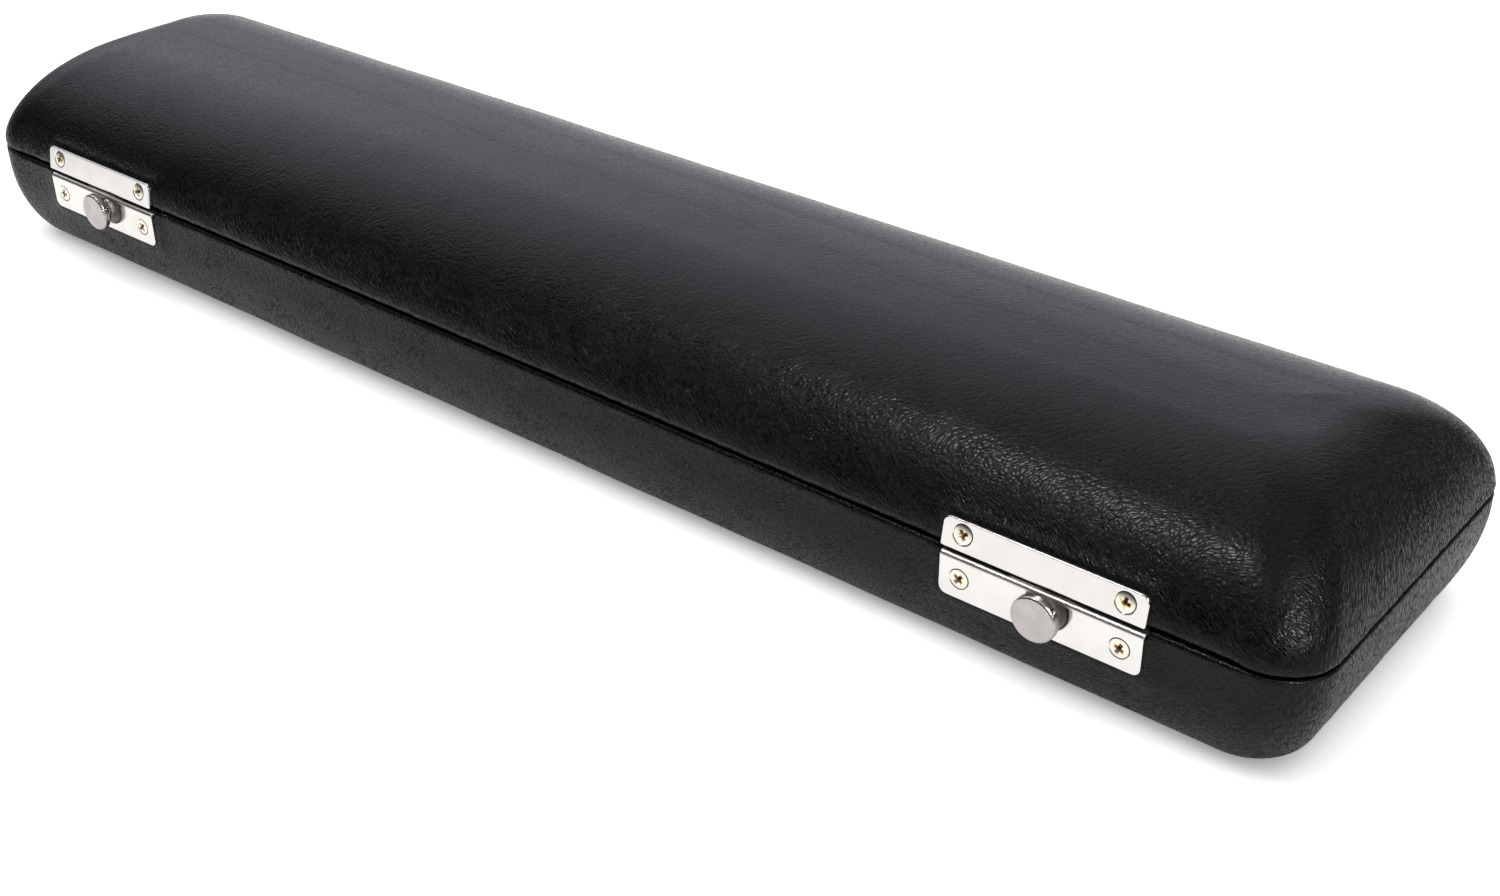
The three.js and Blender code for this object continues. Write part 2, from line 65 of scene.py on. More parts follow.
HINGE_X, LEAF_HALF, KNUCKLE_R, BORE_R, PIN_R, HINGE_Y = 115.0, 18.0, 1.5, 0.86, 0.78, 47.8
HINGE_SCREW_DX, LEAF_LEAN = 12.0, math.radians(10)
LEAF_LID_Z, LEAF_BASE_Z, HINGE_BASE_SCREW_Z, HINGE_LID_SCREW_Z = (1.8, 8.6), (-10.2, -1.8), -6.2, 5.4
STEP, KG = 2 * LEAF_HALF / 5, 0.15
SIDES = (("left", -1), ("right", 1))


# ======================================================================================
# camera, floor and light
# ======================================================================================
scene = bpy.context.scene
scene.view_settings.view_transform = "Standard"


def make_camera():
    yaw, pitch, roll = (math.radians(v) for v in (39.374, -30.567, -0.565))
    fwd = Vector((-math.sin(yaw) * math.cos(pitch), math.cos(yaw) * math.cos(pitch), math.sin(pitch)))
    right = fwd.cross(Vector((0, 0, 1))).normalized()
    up = right.cross(fwd)
    r2 = right * math.cos(roll) + up * math.sin(roll)
    u2 = -right * math.sin(roll) + up * math.cos(roll)
    m = Matrix((r2, u2, -fwd)).transposed().to_4x4()
    m.translation = Vector((0.294619, -0.310263, 0.239282))
    cam = bpy.data.cameras.new("camera")
    cam.sensor_fit, cam.sensor_width, cam.lens = "HORIZONTAL", 36.0, 47.25
    cam.shift_x, cam.shift_y = -0.00315, -0.0196
    cam.clip_start = 0.01
    o = bpy.data.objects.new("camera", cam)
    o.matrix_world = m
    scene.collection.objects.link(o)
    scene.camera = o


class Nodes:
    """Short names for building a node tree."""

    def __init__(self, tree):
        self.t = tree
        tree.nodes.clear()

    def put(self, sock, v):
        if isinstance(v, bpy.types.Node):
            v = v.outputs[0]
        if isinstance(v, bpy.types.NodeSocket):
            self.t.links.new(v, sock)
        else:
            sock.default_value = v

    def new(self, kind, props=None, ins=None):
        n = self.t.nodes.new(kind)
        for k, v in (props or {}).items():
            setattr(n, k, v)
        for k, v in (ins or {}).items():
            self.put(n.inputs[k], v)
        return n

    def m(self, op, a, b=0.0, c=0.0, clamp=False):
        n = self.t.nodes.new("ShaderNodeMath")
        n.operation, n.use_clamp = op, clamp
        for i, v in enumerate((a, b, c)):
            self.put(n.inputs[i], v)
        return n.outputs[0]

    def v(self, op, a, b=(0, 0, 0), scale=None):
        n = self.t.nodes.new("ShaderNodeVectorMath")
        n.operation = op
        self.put(n.inputs[0], a)
        if scale is None:
            self.put(n.inputs[1], b)
        else:
            self.put(n.inputs["Scale"], scale)
        return n.outputs["Value"] if op in ("DOT_PRODUCT", "LENGTH") else n.outputs["Vector"]

    def ramp(self, x, x0, x1, y0=0.0, y1=1.0, smooth=True):
        n = self.new("ShaderNodeMapRange", dict(interpolation_type="SMOOTHSTEP" if smooth else "LINEAR", clamp=True))
        for k, v in (("Value", x), ("From Min", x0), ("From Max", x1), ("To Min", y0), ("To Max", y1)):
            self.put(n.inputs[k], v)
        return n.outputs[0]

    def noise(self, vec, scale, detail=2.0, rough=0.5, dist=0.0, colour=False):
        n = self.new("ShaderNodeTexNoise", None, {"Vector": vec, "Scale": scale, "Detail": detail, "Roughness": rough, "Distortion": dist})
        return n.outputs["Color" if colour else "Fac"]

    def voronoi(self, vec, scale, feature="DISTANCE_TO_EDGE", rand=1.0, out="Distance"):
        n = self.new("ShaderNodeTexVoronoi", dict(feature=feature), {"Vector": vec, "Scale": scale, "Randomness": rand})
        return n.outputs[out]

    def mix(self, fac, a, b):
        n = self.new("ShaderNodeMix", dict(data_type="FLOAT"))
        for i, v in ((0, fac), (2, a), (3, b)):
            self.put(n.inputs[i], v)
        return n.outputs[0]

    def mixv(self, fac, a, b):
        n = self.new("ShaderNodeMix", dict(data_type="VECTOR"))
        for i, v in ((0, fac), (4, a), (5, b)):
            self.put(n.inputs[i], v)
        return n.outputs[1]

    def mixc(self, fac, a, b, blend="MIX"):
        n = self.new("ShaderNodeMix", dict(data_type="RGBA", blend_type=blend))
        for i, v in ((0, fac), (6, a), (7, b)):
            self.put(n.inputs[i], v)
        return n.outputs[2]


def direction(az, el):
    a, e = math.radians(az), math.radians(el)
    return Vector((math.sin(a) * math.cos(e), math.cos(a) * math.cos(e), math.sin(e)))


def make_world():
    """A soft white tent: bright behind and above left, falling off to the right and towards the front."""
    w = bpy.data.worlds.new("studio")
    scene.world = w
    w.use_nodes = True
    n = Nodes(w.node_tree)
    d = n.v("NORMALIZE", n.new("ShaderNodeTexCoord").outputs["Generated"])

    def lobe(az, el, inner, outer, value):
        ang = n.m("ARCCOSINE", n.v("DOT_PRODUCT", d, tuple(direction(az, el))))
        return n.ramp(ang, math.radians(inner), math.radians(outer), value, 0.0)

    level = lobe(*LOBES[0])
    for spec in LOBES[1:]:
        level = n.m("MAXIMUM", level, lobe(*spec))
    level = n.m("ADD", level, AMBIENT)
    path = n.new("ShaderNodeLightPath").outputs
    level = n.mix(path["Is Diffuse Ray"], level, EVEN)
    tint = n.mixc(path["Is Diffuse Ray"], (0.955, 0.98, 1.06, 1), (1, 1, 1, 1))
    light = n.new("ShaderNodeBackground", None, {"Color": tint, "Strength": level})
    white = n.new("ShaderNodeBackground", None, {"Color": (1, 1, 1, 1), "Strength": 1.0})
    out = n.new("ShaderNodeMixShader", None, {0: path["Is Camera Ray"], 1: light, 2: white})
    n.new("ShaderNodeOutputWorld", None, {"Surface": out})


def make_floor():
    me = bpy.data.meshes.new("floor")
    r = 6.0
    me.from_pydata([(-r, -r, 0), (r, -r, 0), (r, r, 0), (-r, r, 0)], [], [(0, 1, 2, 3)])
    o = bpy.data.objects.new("floor", me)
    o.location.z = -0.0004
    scene.collection.objects.link(o)
    mat = bpy.data.materials.new("floor")
    mat.use_nodes = True
    n = Nodes(mat.node_tree)
    seen = n.new("ShaderNodeLightPath").outputs["Is Camera Ray"]
    # painted shade: the paper's colour darkens with distance from the case, down to near black, for the dimmer room
    # around it; behind the case it is kept light
    at = n.new("ShaderNodeTexCoord").outputs["Object"]
    away = n.v("MAXIMUM", n.v("SUBTRACT", n.v("ABSOLUTE", at), (0.2, 0.046, 0)), (0, 0, 0))
    away = n.v("LENGTH", away)
    paper_and_painted_shade = n.mixc(n.ramp(away, 0.03, 0.09), (0.88, 0.88, 0.88, 1), (0.80, 0.80, 0.80, 1))
    paper_and_painted_shade = n.mixc(n.ramp(away, 0.10, 0.28), paper_and_painted_shade, (0.10, 0.10, 0.10, 1))
    place = n.new("ShaderNodeSeparateXYZ", None, {0: at}).outputs
    behind = n.m("MULTIPLY", n.ramp(place[1], 0.08, 0.25), n.ramp(place[0], 0.15, 0.35, 1.0, 0.0))
    paper_and_painted_shade = n.mixc(behind, paper_and_painted_shade, (0.80, 0.80, 0.80, 1))
    # painted light: seen by the camera the paper is coloured brighter than white
    p = n.new("ShaderNodeBsdfDiffuse", None, {"Color": n.mixc(seen, paper_and_painted_shade, (1.22, 1.22, 1.22, 1))})
    # painted light: the paper glows, more for the camera, and more still in front of the case where it lightens the
    # contact shadow
    front = n.m("MULTIPLY", n.ramp(place[0], -0.05, 0.15), n.ramp(place[1], -0.045, -0.036, 1.0, 0.0))
    glow = n.m("MULTIPLY_ADD", front, FLOOR_GLOW[2], FLOOR_GLOW[1])
    e = n.new("ShaderNodeEmission", None, {"Color": (1, 1, 1, 1), "Strength": n.m("MULTIPLY_ADD", seen, glow, FLOOR_GLOW[0])})
    a = n.new("ShaderNodeAddShader", None, {0: p.outputs[0], 1: e.outputs[0]})
    n.new("ShaderNodeOutputMaterial", None, {"Surface": a})
    me.materials.append(mat)


def area_light(name, az, el, dist, sx, sy, radiance, target=(0, 0, 0.03), glossy=True, matt=True):
    li = bpy.data.lights.new(name, "AREA")
    li.shape, li.size, li.size_y = "RECTANGLE", sx, sy
    li.energy = radiance * math.pi * sx * sy
    o = bpy.data.objects.new(name, li)
    d = direction(az, el)
    o.location = Vector(target) + d * dist
    o.rotation_euler = (-d).to_track_quat("-Z", "Y").to_euler()
    o.visible_camera = False
    o.visible_glossy, o.visible_diffuse = glossy, matt
    scene.collection.objects.link(o)


AMBIENT = 0.03
LOBES = [
    # azimuth from +Y towards +X, elevation, inner and outer angle, level
    (-28, 30, 8, 60, 1.28),
    (-62, 42, 10, 44, 1.75),
    (-84, 40, 6, 32, 1.35),
    (0, 90, 8, 60, 0.56),
    (140, 60, 15, 60, 0.07),
]
EVEN = 0.75                                # the tent's light on matt surfaces
FLOOR_GLOW = (0.05, 0.16, 0.16)            # painted light on the paper: a glow on every ray, a glow seen only by the camera standing in for overexposure, and more of it in front

make_camera()
make_world()
make_floor()
area_light("overhead", 170, 84, 1.5, 1.8, 1.8, 1.8, glossy=False)
area_light("key_softbox", -150, 61, 1.25, 0.30, 0.11, 25.0, matt=False)
area_light("side_strip", 112, 32, 1.0, 0.085, 0.40, 62.0, matt=False)


# ======================================================================================
# materials
# ======================================================================================
def material(name):
    mat = bpy.data.materials.new(name)
    mat.use_nodes = True
    return mat, Nodes(mat.node_tree)


def attr(n, name, out="Fac"):
    return n.new("ShaderNodeAttribute", dict(attribute_name=name)).outputs[out]


def principled(n, ins):
    p = n.new("ShaderNodeBsdfPrincipled", None, ins)
    n.new("ShaderNodeOutputMaterial", None, {"Surface": p.outputs[0]})
    return p


def object_mm(n):
    return n.v("SCALE", n.new("ShaderNodeTexCoord").outputs["Object"], scale=1000.0)


def leather():
    """Black calf leather, pebbled about 1 mm, the pebbles drawn out where it was pulled down the slopes."""
    mat, n = material("leather")
    P = object_mm(n)
    flow, stretch, dull = attr(n, "flow", "Vector"), attr(n, "stretch"), attr(n, "dull")
    wob = n.v("SUBTRACT", n.noise(P, 0.10, 2, 0.5, 0, True), (0.5, 0.5, 0.5))
    wob2 = n.v("SUBTRACT", n.noise(P, 0.9, 2, 0.5, 0, True), (0.5, 0.5, 0.5))
    shift = n.v("ADD", n.v("SCALE", wob, scale=6.0), n.v("SCALE", wob2, scale=0.30))
    # flat crown: pebbles drawn out across the case, askew
    Q = n.new("ShaderNodeVectorRotate", dict(rotation_type="Z_AXIS"), {"Vector": P, "Angle": math.radians(42)}).outputs[0]
    Q = n.v("MULTIPLY", n.v("ADD", Q, shift), (1.0, 0.42, 1.0))
    F = n.v("MULTIPLY", n.v("ADD", flow, shift), (1.0, 1.0, 0.88))
    F2 = n.v("MULTIPLY", n.v("ADD", attr(n, "plumb", "Vector"), n.v("SCALE", shift, scale=0.6)), (1.2, 1.2, 0.26))

    def pebbles(vec, size):
        """Low domes with narrow valleys between them."""
        edge = n.ramp(n.voronoi(vec, 1.0 / size), 0.0, 0.16)
        top = n.m("SUBTRACT", 1.0, n.m("POWER", n.m("MULTIPLY", n.voronoi(vec, 1.0 / size, "F1"), 1.15), 2.0))
        return n.m("MULTIPLY_ADD", top, 0.84, n.m("MULTIPLY", edge, 0.08)), edge

    down = n.ramp(stretch, 0.10, 0.30)
    over = n.ramp(stretch, 0.45, 0.72)
    (q_top, q_edge), (f_top, f_edge), (g_top, g_edge) = pebbles(Q, 0.70), pebbles(F, 0.72), pebbles(F2, 0.72)
    big = n.mix(over, n.mix(down, q_top, f_top), g_top)
    flat = n.mix(over, n.mix(down, q_edge, f_edge), g_edge)
    small = n.mix(down, n.voronoi(Q, 2.6, "F1"), n.voronoi(F, 2.6, "F1"))
    micro = n.noise(P, 4.0, 2, 0.6)
    # how deep the grain lies changes over the hide, and is least on the crown and on the base
    depth = n.ramp(n.noise(P, 0.05, 3, 0.6), 0.34, 0.66, 0.88, 1.12)
    depth = n.m("MULTIPLY", depth, n.ramp(stretch, 0.02, 0.30, 0.36, 1.15))
    depth = n.m("MULTIPLY", depth, n.ramp(stretch, 0.50, 0.75, 1.0, 1.25))
    # some pebbles stand taller than others
    tall = n.ramp(n.noise(P, 0.95, 1, 0.5), 0.38, 0.66, 0.72, 1.65)
    depth = n.m("MULTIPLY", depth, n.mix(down, 1.0, tall))
    low = n.new("ShaderNodeSeparateXYZ", None, {0: P}).outputs[2]
    depth = n.m("MULTIPLY", depth, n.ramp(low, 28.0, 40.0, 0.55, 1.0))
    # long shallow creases
    cr = n.noise(n.v("MULTIPLY", n.v("ADD", flow, n.v("SCALE", wob, scale=16.0)), (0.30, 0.30, 0.075)), 1.0, 3, 0.55)
    crease = n.ramp(n.m("ABSOLUTE", n.m("SUBTRACT", cr, 0.5)), 0.0, 0.018)
    # where it was pulled over the shoulder the valleys join up in long lines
    seam = n.ramp(n.voronoi(n.v("MULTIPLY", n.v("ADD", flow, n.v("SCALE", wob, scale=5.0)), (1.0, 1.0, 0.20)), 0.62), 0.0, 0.10)
    seam = n.m("MULTIPLY", n.m("SUBTRACT", 1.0, seam), n.ramp(n.noise(P, 0.12, 2, 0.5), 0.42, 0.60))
    seam = n.m("MULTIPLY", seam, n.m("MULTIPLY", down, n.m("SUBTRACT", 1.0, over)))
    h = n.m("MULTIPLY_ADD", small, -0.04, big)
    h = n.m("MULTIPLY_ADD", seam, -0.40, h)
    h = n.m("MULTIPLY", h, depth)
    h = n.m("MULTIPLY_ADD", micro, 0.010, h)
    h = n.m("MULTIPLY_ADD", crease, n.ramp(stretch, 0.02, 0.20, 0.16, 0.09), h)
    bump = n.new("ShaderNodeBump", None, {"Strength": 1.0, "Distance": LEATHER_BUMP, "Height": h})
    tone = n.ramp(n.noise(P, 0.02, 3, 0.6), 0.3, 0.7)
    top = n.mixc(tone, (0.0012, 0.0012, 0.0017, 1), (0.0020, 0.0020, 0.0026, 1))
    top = n.mixc(dull, top, (0.0030, 0.0021, 0.0020, 1))
    # painted shade: the valleys between pebbles and the long seam lines are coloured a little darker than the pebble
    # tops, less so on the crown
    raised = n.m("MULTIPLY", flat, n.m("SUBTRACT", 1.0, seam))
    raised = n.m("MAXIMUM", raised, n.m("MULTIPLY", n.m("SUBTRACT", 1.0, down), 0.6))
    col = n.mixc(raised, (0.0012, 0.0011, 0.0012, 1), top)
    rough = n.ramp(n.noise(P, 0.5, 3, 0.6), 0.3, 0.7, 0.13, 0.19)
    rough = n.mix(raised, 0.6, rough)
    rough = n.m("ADD", rough, n.m("MULTIPLY", dull, 0.12))
    principled(n, {"Base Color": col, "Roughness": rough, "Normal": bump.outputs[0], "IOR": 1.29})
    return mat


LEATHER_BUMP = 0.00010


def metal(name, colour, dark, rough, brush=(0.12, 5.0, 5.0), bump=0.0000011, spread=0.03, pit=False, aniso=0.0, cast=None, bent=None):
    """Plated metal with fine brush lines, faint clouding and, in screw recesses, old polish darkened towards the bottom
    by painted shade; on a button, painted shade at the back of the head.
    """
    mat, n = material(name)
    P = object_mm(n)
    lines = n.noise(n.v("MULTIPLY", P, brush), 1.0, 4, 0.6)
    cloud = n.noise(P, 0.22, 3, 0.6)
    scuff = n.ramp(n.noise(n.v("MULTIPLY", P, (0.9, 2.2, 2.2)), 1.0, 5, 0.65), 0.58, 0.72)
    col = n.mixc(n.ramp(cloud, 0.35, 0.7), colour, dark)
    r = n.m("ADD", n.ramp(lines, 0.3, 0.7, rough - spread, rough + spread), n.m("MULTIPLY", scuff, 0.05))
    if pit:
        inside = attr(n, "pit")
        # old polish in the recess, with painted shade making it dark brown towards the bottom
        polish_and_shade = n.mixc(n.ramp(inside, 0.05, 0.9), (0.80, 0.63, 0.38, 1), (0.20, 0.12, 0.06, 1))
        col = n.mixc(n.ramp(inside, 0.0, 0.12), col, polish_and_shade)
        r = n.mix(inside, r, 0.45)
    height = lines
    if bent is not None:
        z = n.new("ShaderNodeSeparateXYZ", None, {0: P}).outputs[2]
        r = n.mix(n.m("MULTIPLY", n.ramp(z, bent[0], bent[0] + 0.4), n.ramp(z, bent[1], bent[1] + 0.3, 1.0, 0.0)), r, 0.34)
    if cast is not None:                     # left rough behind this y, in millimetres
        behind = n.ramp(n.new("ShaderNodeSeparateXYZ", None, {0: P}).outputs[1], cast - 0.1, cast + 0.1)
        grit = n.noise(P, 2.4, 3, 0.6)
        col = n.mixc(n.m("MULTIPLY", behind, n.ramp(grit, 0.35, 0.65, 0.2, 0.85)), col, (0.30, 0.275, 0.26, 1))
        r = n.mix(behind, r, 0.42)
        # painted shade from the button's own mask: near black at the head's back edge, where the undercut lies in
        # shadow, and half as dark on the head's side
        col = n.mixc(attr(n, "soot"), col, (0.035, 0.03, 0.027, 1))
        height = n.m("MULTIPLY_ADD", n.m("MULTIPLY", behind, grit), 16.0, lines)
    b = n.new("ShaderNodeBump", None, {"Strength": 1.0, "Distance": bump, "Height": height})
    ins = {"Base Color": col, "Metallic": 1.0, "Roughness": r, "Normal": b.outputs[0]}
    if aniso:
        ins["Anisotropic"] = aniso
        ins["Tangent"] = n.new("ShaderNodeTangent", dict(direction_type="RADIAL", axis="Y")).outputs[0]
    principled(n, ins)
    return mat


def velvet(name, colour, light):
    mat, n = material(name)
    P = object_mm(n)
    pile = n.noise(P, 6.5, 2, 0.6)
    nap = n.ramp(n.noise(n.v("MULTIPLY", P, (0.035, 0.10, 0.10)), 1.0, 4, 0.6), 0.35, 0.68)
    stroke = n.ramp(n.noise(P, 0.16, 3, 0.6, 1.5), 0.42, 0.62)
    f = n.m("MULTIPLY_ADD", nap, 0.55, n.m("MULTIPLY", stroke, 0.35))
    col = n.mixc(f, colour, light)
    col = n.mixc(n.ramp(pile, 0.35, 0.7), n.mixc(0.55, col, (0.01, 0.0, 0.002, 1)), col)
    h = n.m("MULTIPLY_ADD", pile, 1.0, n.m("MULTIPLY", stroke, 0.8))
    b = n.new("ShaderNodeBump", None, {"Strength": 0.8, "Distance": 0.00016, "Height": h})
    rough = n.ramp(pile, 0.2, 0.8, 0.8, 1.0)
    principled(n, {"Base Color": col, "Roughness": rough, "Normal": b.outputs[0], "Specular IOR Level": 0.2,
                   "Sheen Weight": 0.55, "Sheen Roughness": 0.35, "Sheen Tint": (0.75, 0.22, 0.26, 1)})
    return mat


def wood():
    mat, n = material("wood")
    P = object_mm(n)
    w = n.v("MULTIPLY", P, (0.012, 0.35, 0.35))
    rings = n.new("ShaderNodeTexWave", dict(wave_type="BANDS", bands_direction="Y"),
                  {"Vector": w, "Scale": 1.0, "Distortion": 9.0, "Detail": 3.0, "Detail Scale": 1.2}).outputs["Fac"]
    fibre = n.noise(n.v("MULTIPLY", P, (0.08, 3.0, 3.0)), 1.0, 4, 0.65)
    col = n.mixc(rings, (0.50, 0.34, 0.19, 1), (0.33, 0.20, 0.10, 1))
    col = n.mixc(n.ramp(fibre, 0.35, 0.65, 0.0, 0.5), col, (0.22, 0.13, 0.065, 1))
    b = n.new("ShaderNodeBump", None, {"Strength": 0.5, "Distance": 0.0001, "Height": fibre})
    principled(n, {"Base Color": col, "Roughness": n.ramp(fibre, 0.3, 0.7, 0.5, 0.75), "Normal": b.outputs[0]})
    return mat


M_LEATHER = leather()
M_NICKEL = metal("satin_nickel", (0.865, 0.835, 0.80, 1), (0.82, 0.79, 0.75, 1), 0.14, bent=(S - 1.9, S - 0.4))
M_BUTTON = metal("turned_nickel", (0.54, 0.505, 0.495, 1), (0.47, 0.44, 0.43, 1), 0.22, brush=(2.0, 2.0, 2.0), bump=0.000001, aniso=0.7, cast=-48.85)
M_SCREW = metal("screw_nickel", (0.96, 0.915, 0.80, 1), (0.90, 0.84, 0.70, 1), 0.24, brush=(2.5, 2.5, 2.5), bump=0.000002, pit=True)
M_STEEL = metal("bright_steel", (0.56, 0.56, 0.57, 1), (0.46, 0.46, 0.47, 1), 0.3, brush=(1.0, 4.0, 4.0))
M_VELVET = velvet("velvet", (0.085, 0.006, 0.013, 1), (0.17, 0.016, 0.030, 1))
M_WOOD = wood()


# ======================================================================================
# mesh helpers (millimetres)
# ======================================================================================
def new_object(name, verts, faces, clean=1e-4):
    me = bpy.data.meshes.new(name)
    me.from_pydata(np.asarray(verts, float).tolist(), [], [list(map(int, f)) for f in faces])
    bm = bmesh.new()
    bm.from_mesh(me)
    if clean:
        bmesh.ops.remove_doubles(bm, verts=bm.verts, dist=clean)
        bmesh.ops.dissolve_degenerate(bm, edges=bm.edges, dist=clean)
    bmesh.ops.recalc_face_normals(bm, faces=bm.faces)
    bm.to_mesh(me)
    bm.free()
    o = bpy.data.objects.new(name, me)
    scene.collection.objects.link(o)
    return o


def grid_faces(rows, cols, wrap_rows=False):
    k = np.arange(rows if wrap_rows else rows - 1)[:, None]
    j = np.arange(cols)[None, :]
    k2, j2 = (k + 1) % rows, (j + 1) % cols
    return np.stack([k * cols + j, k * cols + j2, k2 * cols + j2, k2 * cols + j], -1).reshape(-1, 4)


def loft(name, rings, cap=True):
    """Closed body through rings with the same number of points."""
    n = len(rings[0])
    V = np.concatenate([np.asarray(r, float) for r in rings])
    F = [list(f) for f in grid_faces(len(rings), n)]
    if cap:
        F.append(list(range(n))[::-1])
        F.append(list(range((len(rings) - 1) * n, len(rings) * n)))
    return new_object(name, V, F)


def lathe(name, profile, seg, closed=False, axis="Y", at=(0, 0, 0)):
    """Solid of revolution from [radius, along] points about an axis through `at`."""
    pr = np.asarray(profile, float)
    th = np.arange(seg) / seg * 2 * np.pi
    r, h = pr[:, :1], np.repeat(pr[:, 1:2], seg, 1)
    if axis == "Y":
        V = np.stack([r * np.cos(th), h, r * np.sin(th)], -1)
    else:
        V = np.stack([h, r * np.cos(th), r * np.sin(th)], -1)
    V = V.reshape(-1, 3) + np.asarray(at, float)
    return new_object(name, V, grid_faces(len(pr), seg, closed))


def arc(cx, cy, r, a0, a1, n):
    """Points on an arc, angles in degrees."""
    t = np.radians(np.linspace(a0, a1, n))
    return [(cx + r * math.cos(v), cy + r * math.sin(v)) for v in t]


def rounded(x0, x1, z0, z1, radii, seg=6, inset=0.0):
    """Rounded rectangle, anticlockwise; radii at bottom right, top right, top left, bottom left."""
    x0, x1, z0, z1 = x0 + inset, x1 - inset, z0 + inset, z1 - inset
    pts = []
    for (cx, cz, a), r in zip(((x1, z0, -90), (x1, z1, 0), (x0, z1, 90), (x0, z0, 180)), radii):
        r = max(r - inset, 0.02)
        sx, sz = (-1 if cx == x1 else 1), (1 if cz == z0 else -1)
        pts += arc(cx + sx * r, cz + sz * r, r, a, a + 90, seg)
    return pts


def slab(name, x0, x1, z0, z1, t, radii, bevel=0.2, back=0.08, seg=6):
    """Plate in the X-Z plane: face at y = 0 with a rounded edge, back at y = t."""
    levels = [(t, back)] + [(t - back, 0.0)]
    for i in range(5):
        a = math.pi / 2 * i / 4
        levels.append((bevel * (1 - math.sin(a)), bevel * (1 - math.cos(a))))
    rings = [[(x, y, z) for x, z in rounded(x0, x1, z0, z1, radii, seg, ins)] for y, ins in levels]
    return loft(name, rings)


def block(name, x0, x1, y0, y1, z0, z1):
    return loft(name, [[(x0, y0, z), (x1, y0, z), (x1, y1, z), (x0, y1, z)] for z in (z0, z1)])


def prism(name, poly, x0, x1):
    """Polygon of (y, z) points drawn out along X."""
    return loft(name, [[(x, y, z) for y, z in poly] for x in (x0, x1)])


def move(o, m):
    o.data.transform(m)
    return o


def spot(x, y, z, lean=0.0, back=False, turn=0.0):
    m = Matrix.Translation((x, y, z))
    if back:
        m = m @ Matrix.Rotation(math.pi, 4, "Z")
    return m @ Matrix.Rotation(-lean, 4, "X") @ Matrix.Rotation(turn, 4, "Y")


def boolean(o, tools, op="DIFFERENCE"):
    for t in tools:
        for solver in ("MANIFOLD", "EXACT"):
            b = o.modifiers.new("cut", "BOOLEAN")
            b.operation, b.object, b.solver = op, t, solver
            bpy.context.view_layer.update()
            me = bpy.data.meshes.new_from_object(o.evaluated_get(bpy.context.evaluated_depsgraph_get()))
            o.modifiers.remove(b)
            if len(me.polygons) > 3 and (len(me.vertices) != len(o.data.vertices) or op == "UNION"):
                break
            print("boolean: solver", solver, "left", o.name, "unchanged by", t.name)
        name = o.data.name
        old, o.data = o.data, me
        bpy.data.meshes.remove(old)
        o.data.name = name
    for t in tools:
        bpy.data.objects.remove(t)
    return o


def tidy(o, dist=0.0005):
    bm = bmesh.new()
    bm.from_mesh(o.data)
    bmesh.ops.remove_doubles(bm, verts=bm.verts, dist=dist)
    bmesh.ops.dissolve_degenerate(bm, edges=bm.edges, dist=dist)
    bm.to_mesh(o.data)
    bm.free()
    return o


def piece(o, body, mat, nodes=(), angle=35, weighted=True, clean=True):
    """Scales a finished mesh to metres, gives it its material and sets it riding."""
    if clean:
        tidy(o)
    me = o.data
    me.transform(Matrix.Scale(MM, 4))
    me.materials.clear()
    me.materials.append(mat)
    me.polygons.foreach_set("use_smooth", [True] * len(me.polygons))
    me.polygons.foreach_set("material_index", [0] * len(me.polygons))
    me.set_sharp_from_angle(angle=math.radians(angle))
    me.update()
    if weighted:
        w = o.modifiers.new("normals", "WEIGHTED_NORMAL")
        w.keep_sharp, w.weight = True, 80
    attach(o, body)
    if nodes:
        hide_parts(*nodes)
    return o


# ======================================================================================
# leather covers
# ======================================================================================
def columns(nx, ny, nc):
    """Columns of a rounded rectangle: corner signs and angle for each."""
    cx, cy, th = [], [], []
    for q, (sx, sy) in enumerate(((1, 1), (-1, 1), (-1, -1), (1, -1))):
        for i in range(nc):
            cx.append(sx); cy.append(sy); th.append((q + i / nc) * math.pi / 2)
        n = nx if q % 2 == 0 else ny
        ex, ey = ((-1, 1), (-1, -1), (1, -1), (1, 1))[q]
        for i in range(n):
            u = i / n
            cx.append(sx + (ex - sx) * u); cy.append(sy + (ey - sy) * u); th.append((q + 1) * math.pi / 2)
    return np.array(cx, float), np.array(cy, float), np.array(th, float)


def ring_at(cols, hl, hw, r, z):
    cx, cy, th = cols
    r = np.minimum(np.minimum(r, hl), hw)
    x = cx * (hl - r) + r * np.cos(th)
    y = cy * (hw - r) + r * np.sin(th)
    return np.stack([x, y, np.broadcast_to(z, x.shape)], -1)


def inset(p, z):
    s = np.clip((z - p["v"]) / (p["h"] - p["v"]), 0, 1)
    return p["a"] * (1 - (1 - s ** p["n"]) ** (1 / p["n"]))


def dome_row(cols, side, end, off, h, z):
    """Row of a domed wall, off inside the leather's face, at height z from the seam (its own height h)."""
    fw, fl = WIDTH / 2 - side["a"], LENGTH / 2 - end["a"]
    ps = dict(side, h=h, a=WIDTH / 2 - off - fw)
    pe = dict(end, h=h, a=LENGTH / 2 - off - fl)
    a, b = inset(ps, z), inset(pe, z)
    return ring_at(cols, LENGTH / 2 - off - b, WIDTH / 2 - off - a, max(2.0, CORNER_R - off - 0.06 * (a + b)), z), (
        LENGTH / 2 - off - b, WIDTH / 2 - off - a, max(2.0, CORNER_R - off - 0.06 * (a + b)))


def heights(side, z0, h, step):
    """Heights from z0 to h that are `step` apart along the side profile."""
    z = np.linspace(z0, h, 20001)
    a = inset(side, z)
    s = np.concatenate([[0], np.cumsum(np.hypot(np.diff(a), np.diff(z)))])
    n = max(2, int(round(s[-1] / step)))
    return np.interp(np.linspace(0, s[-1], n + 1), s, z), s[-1]


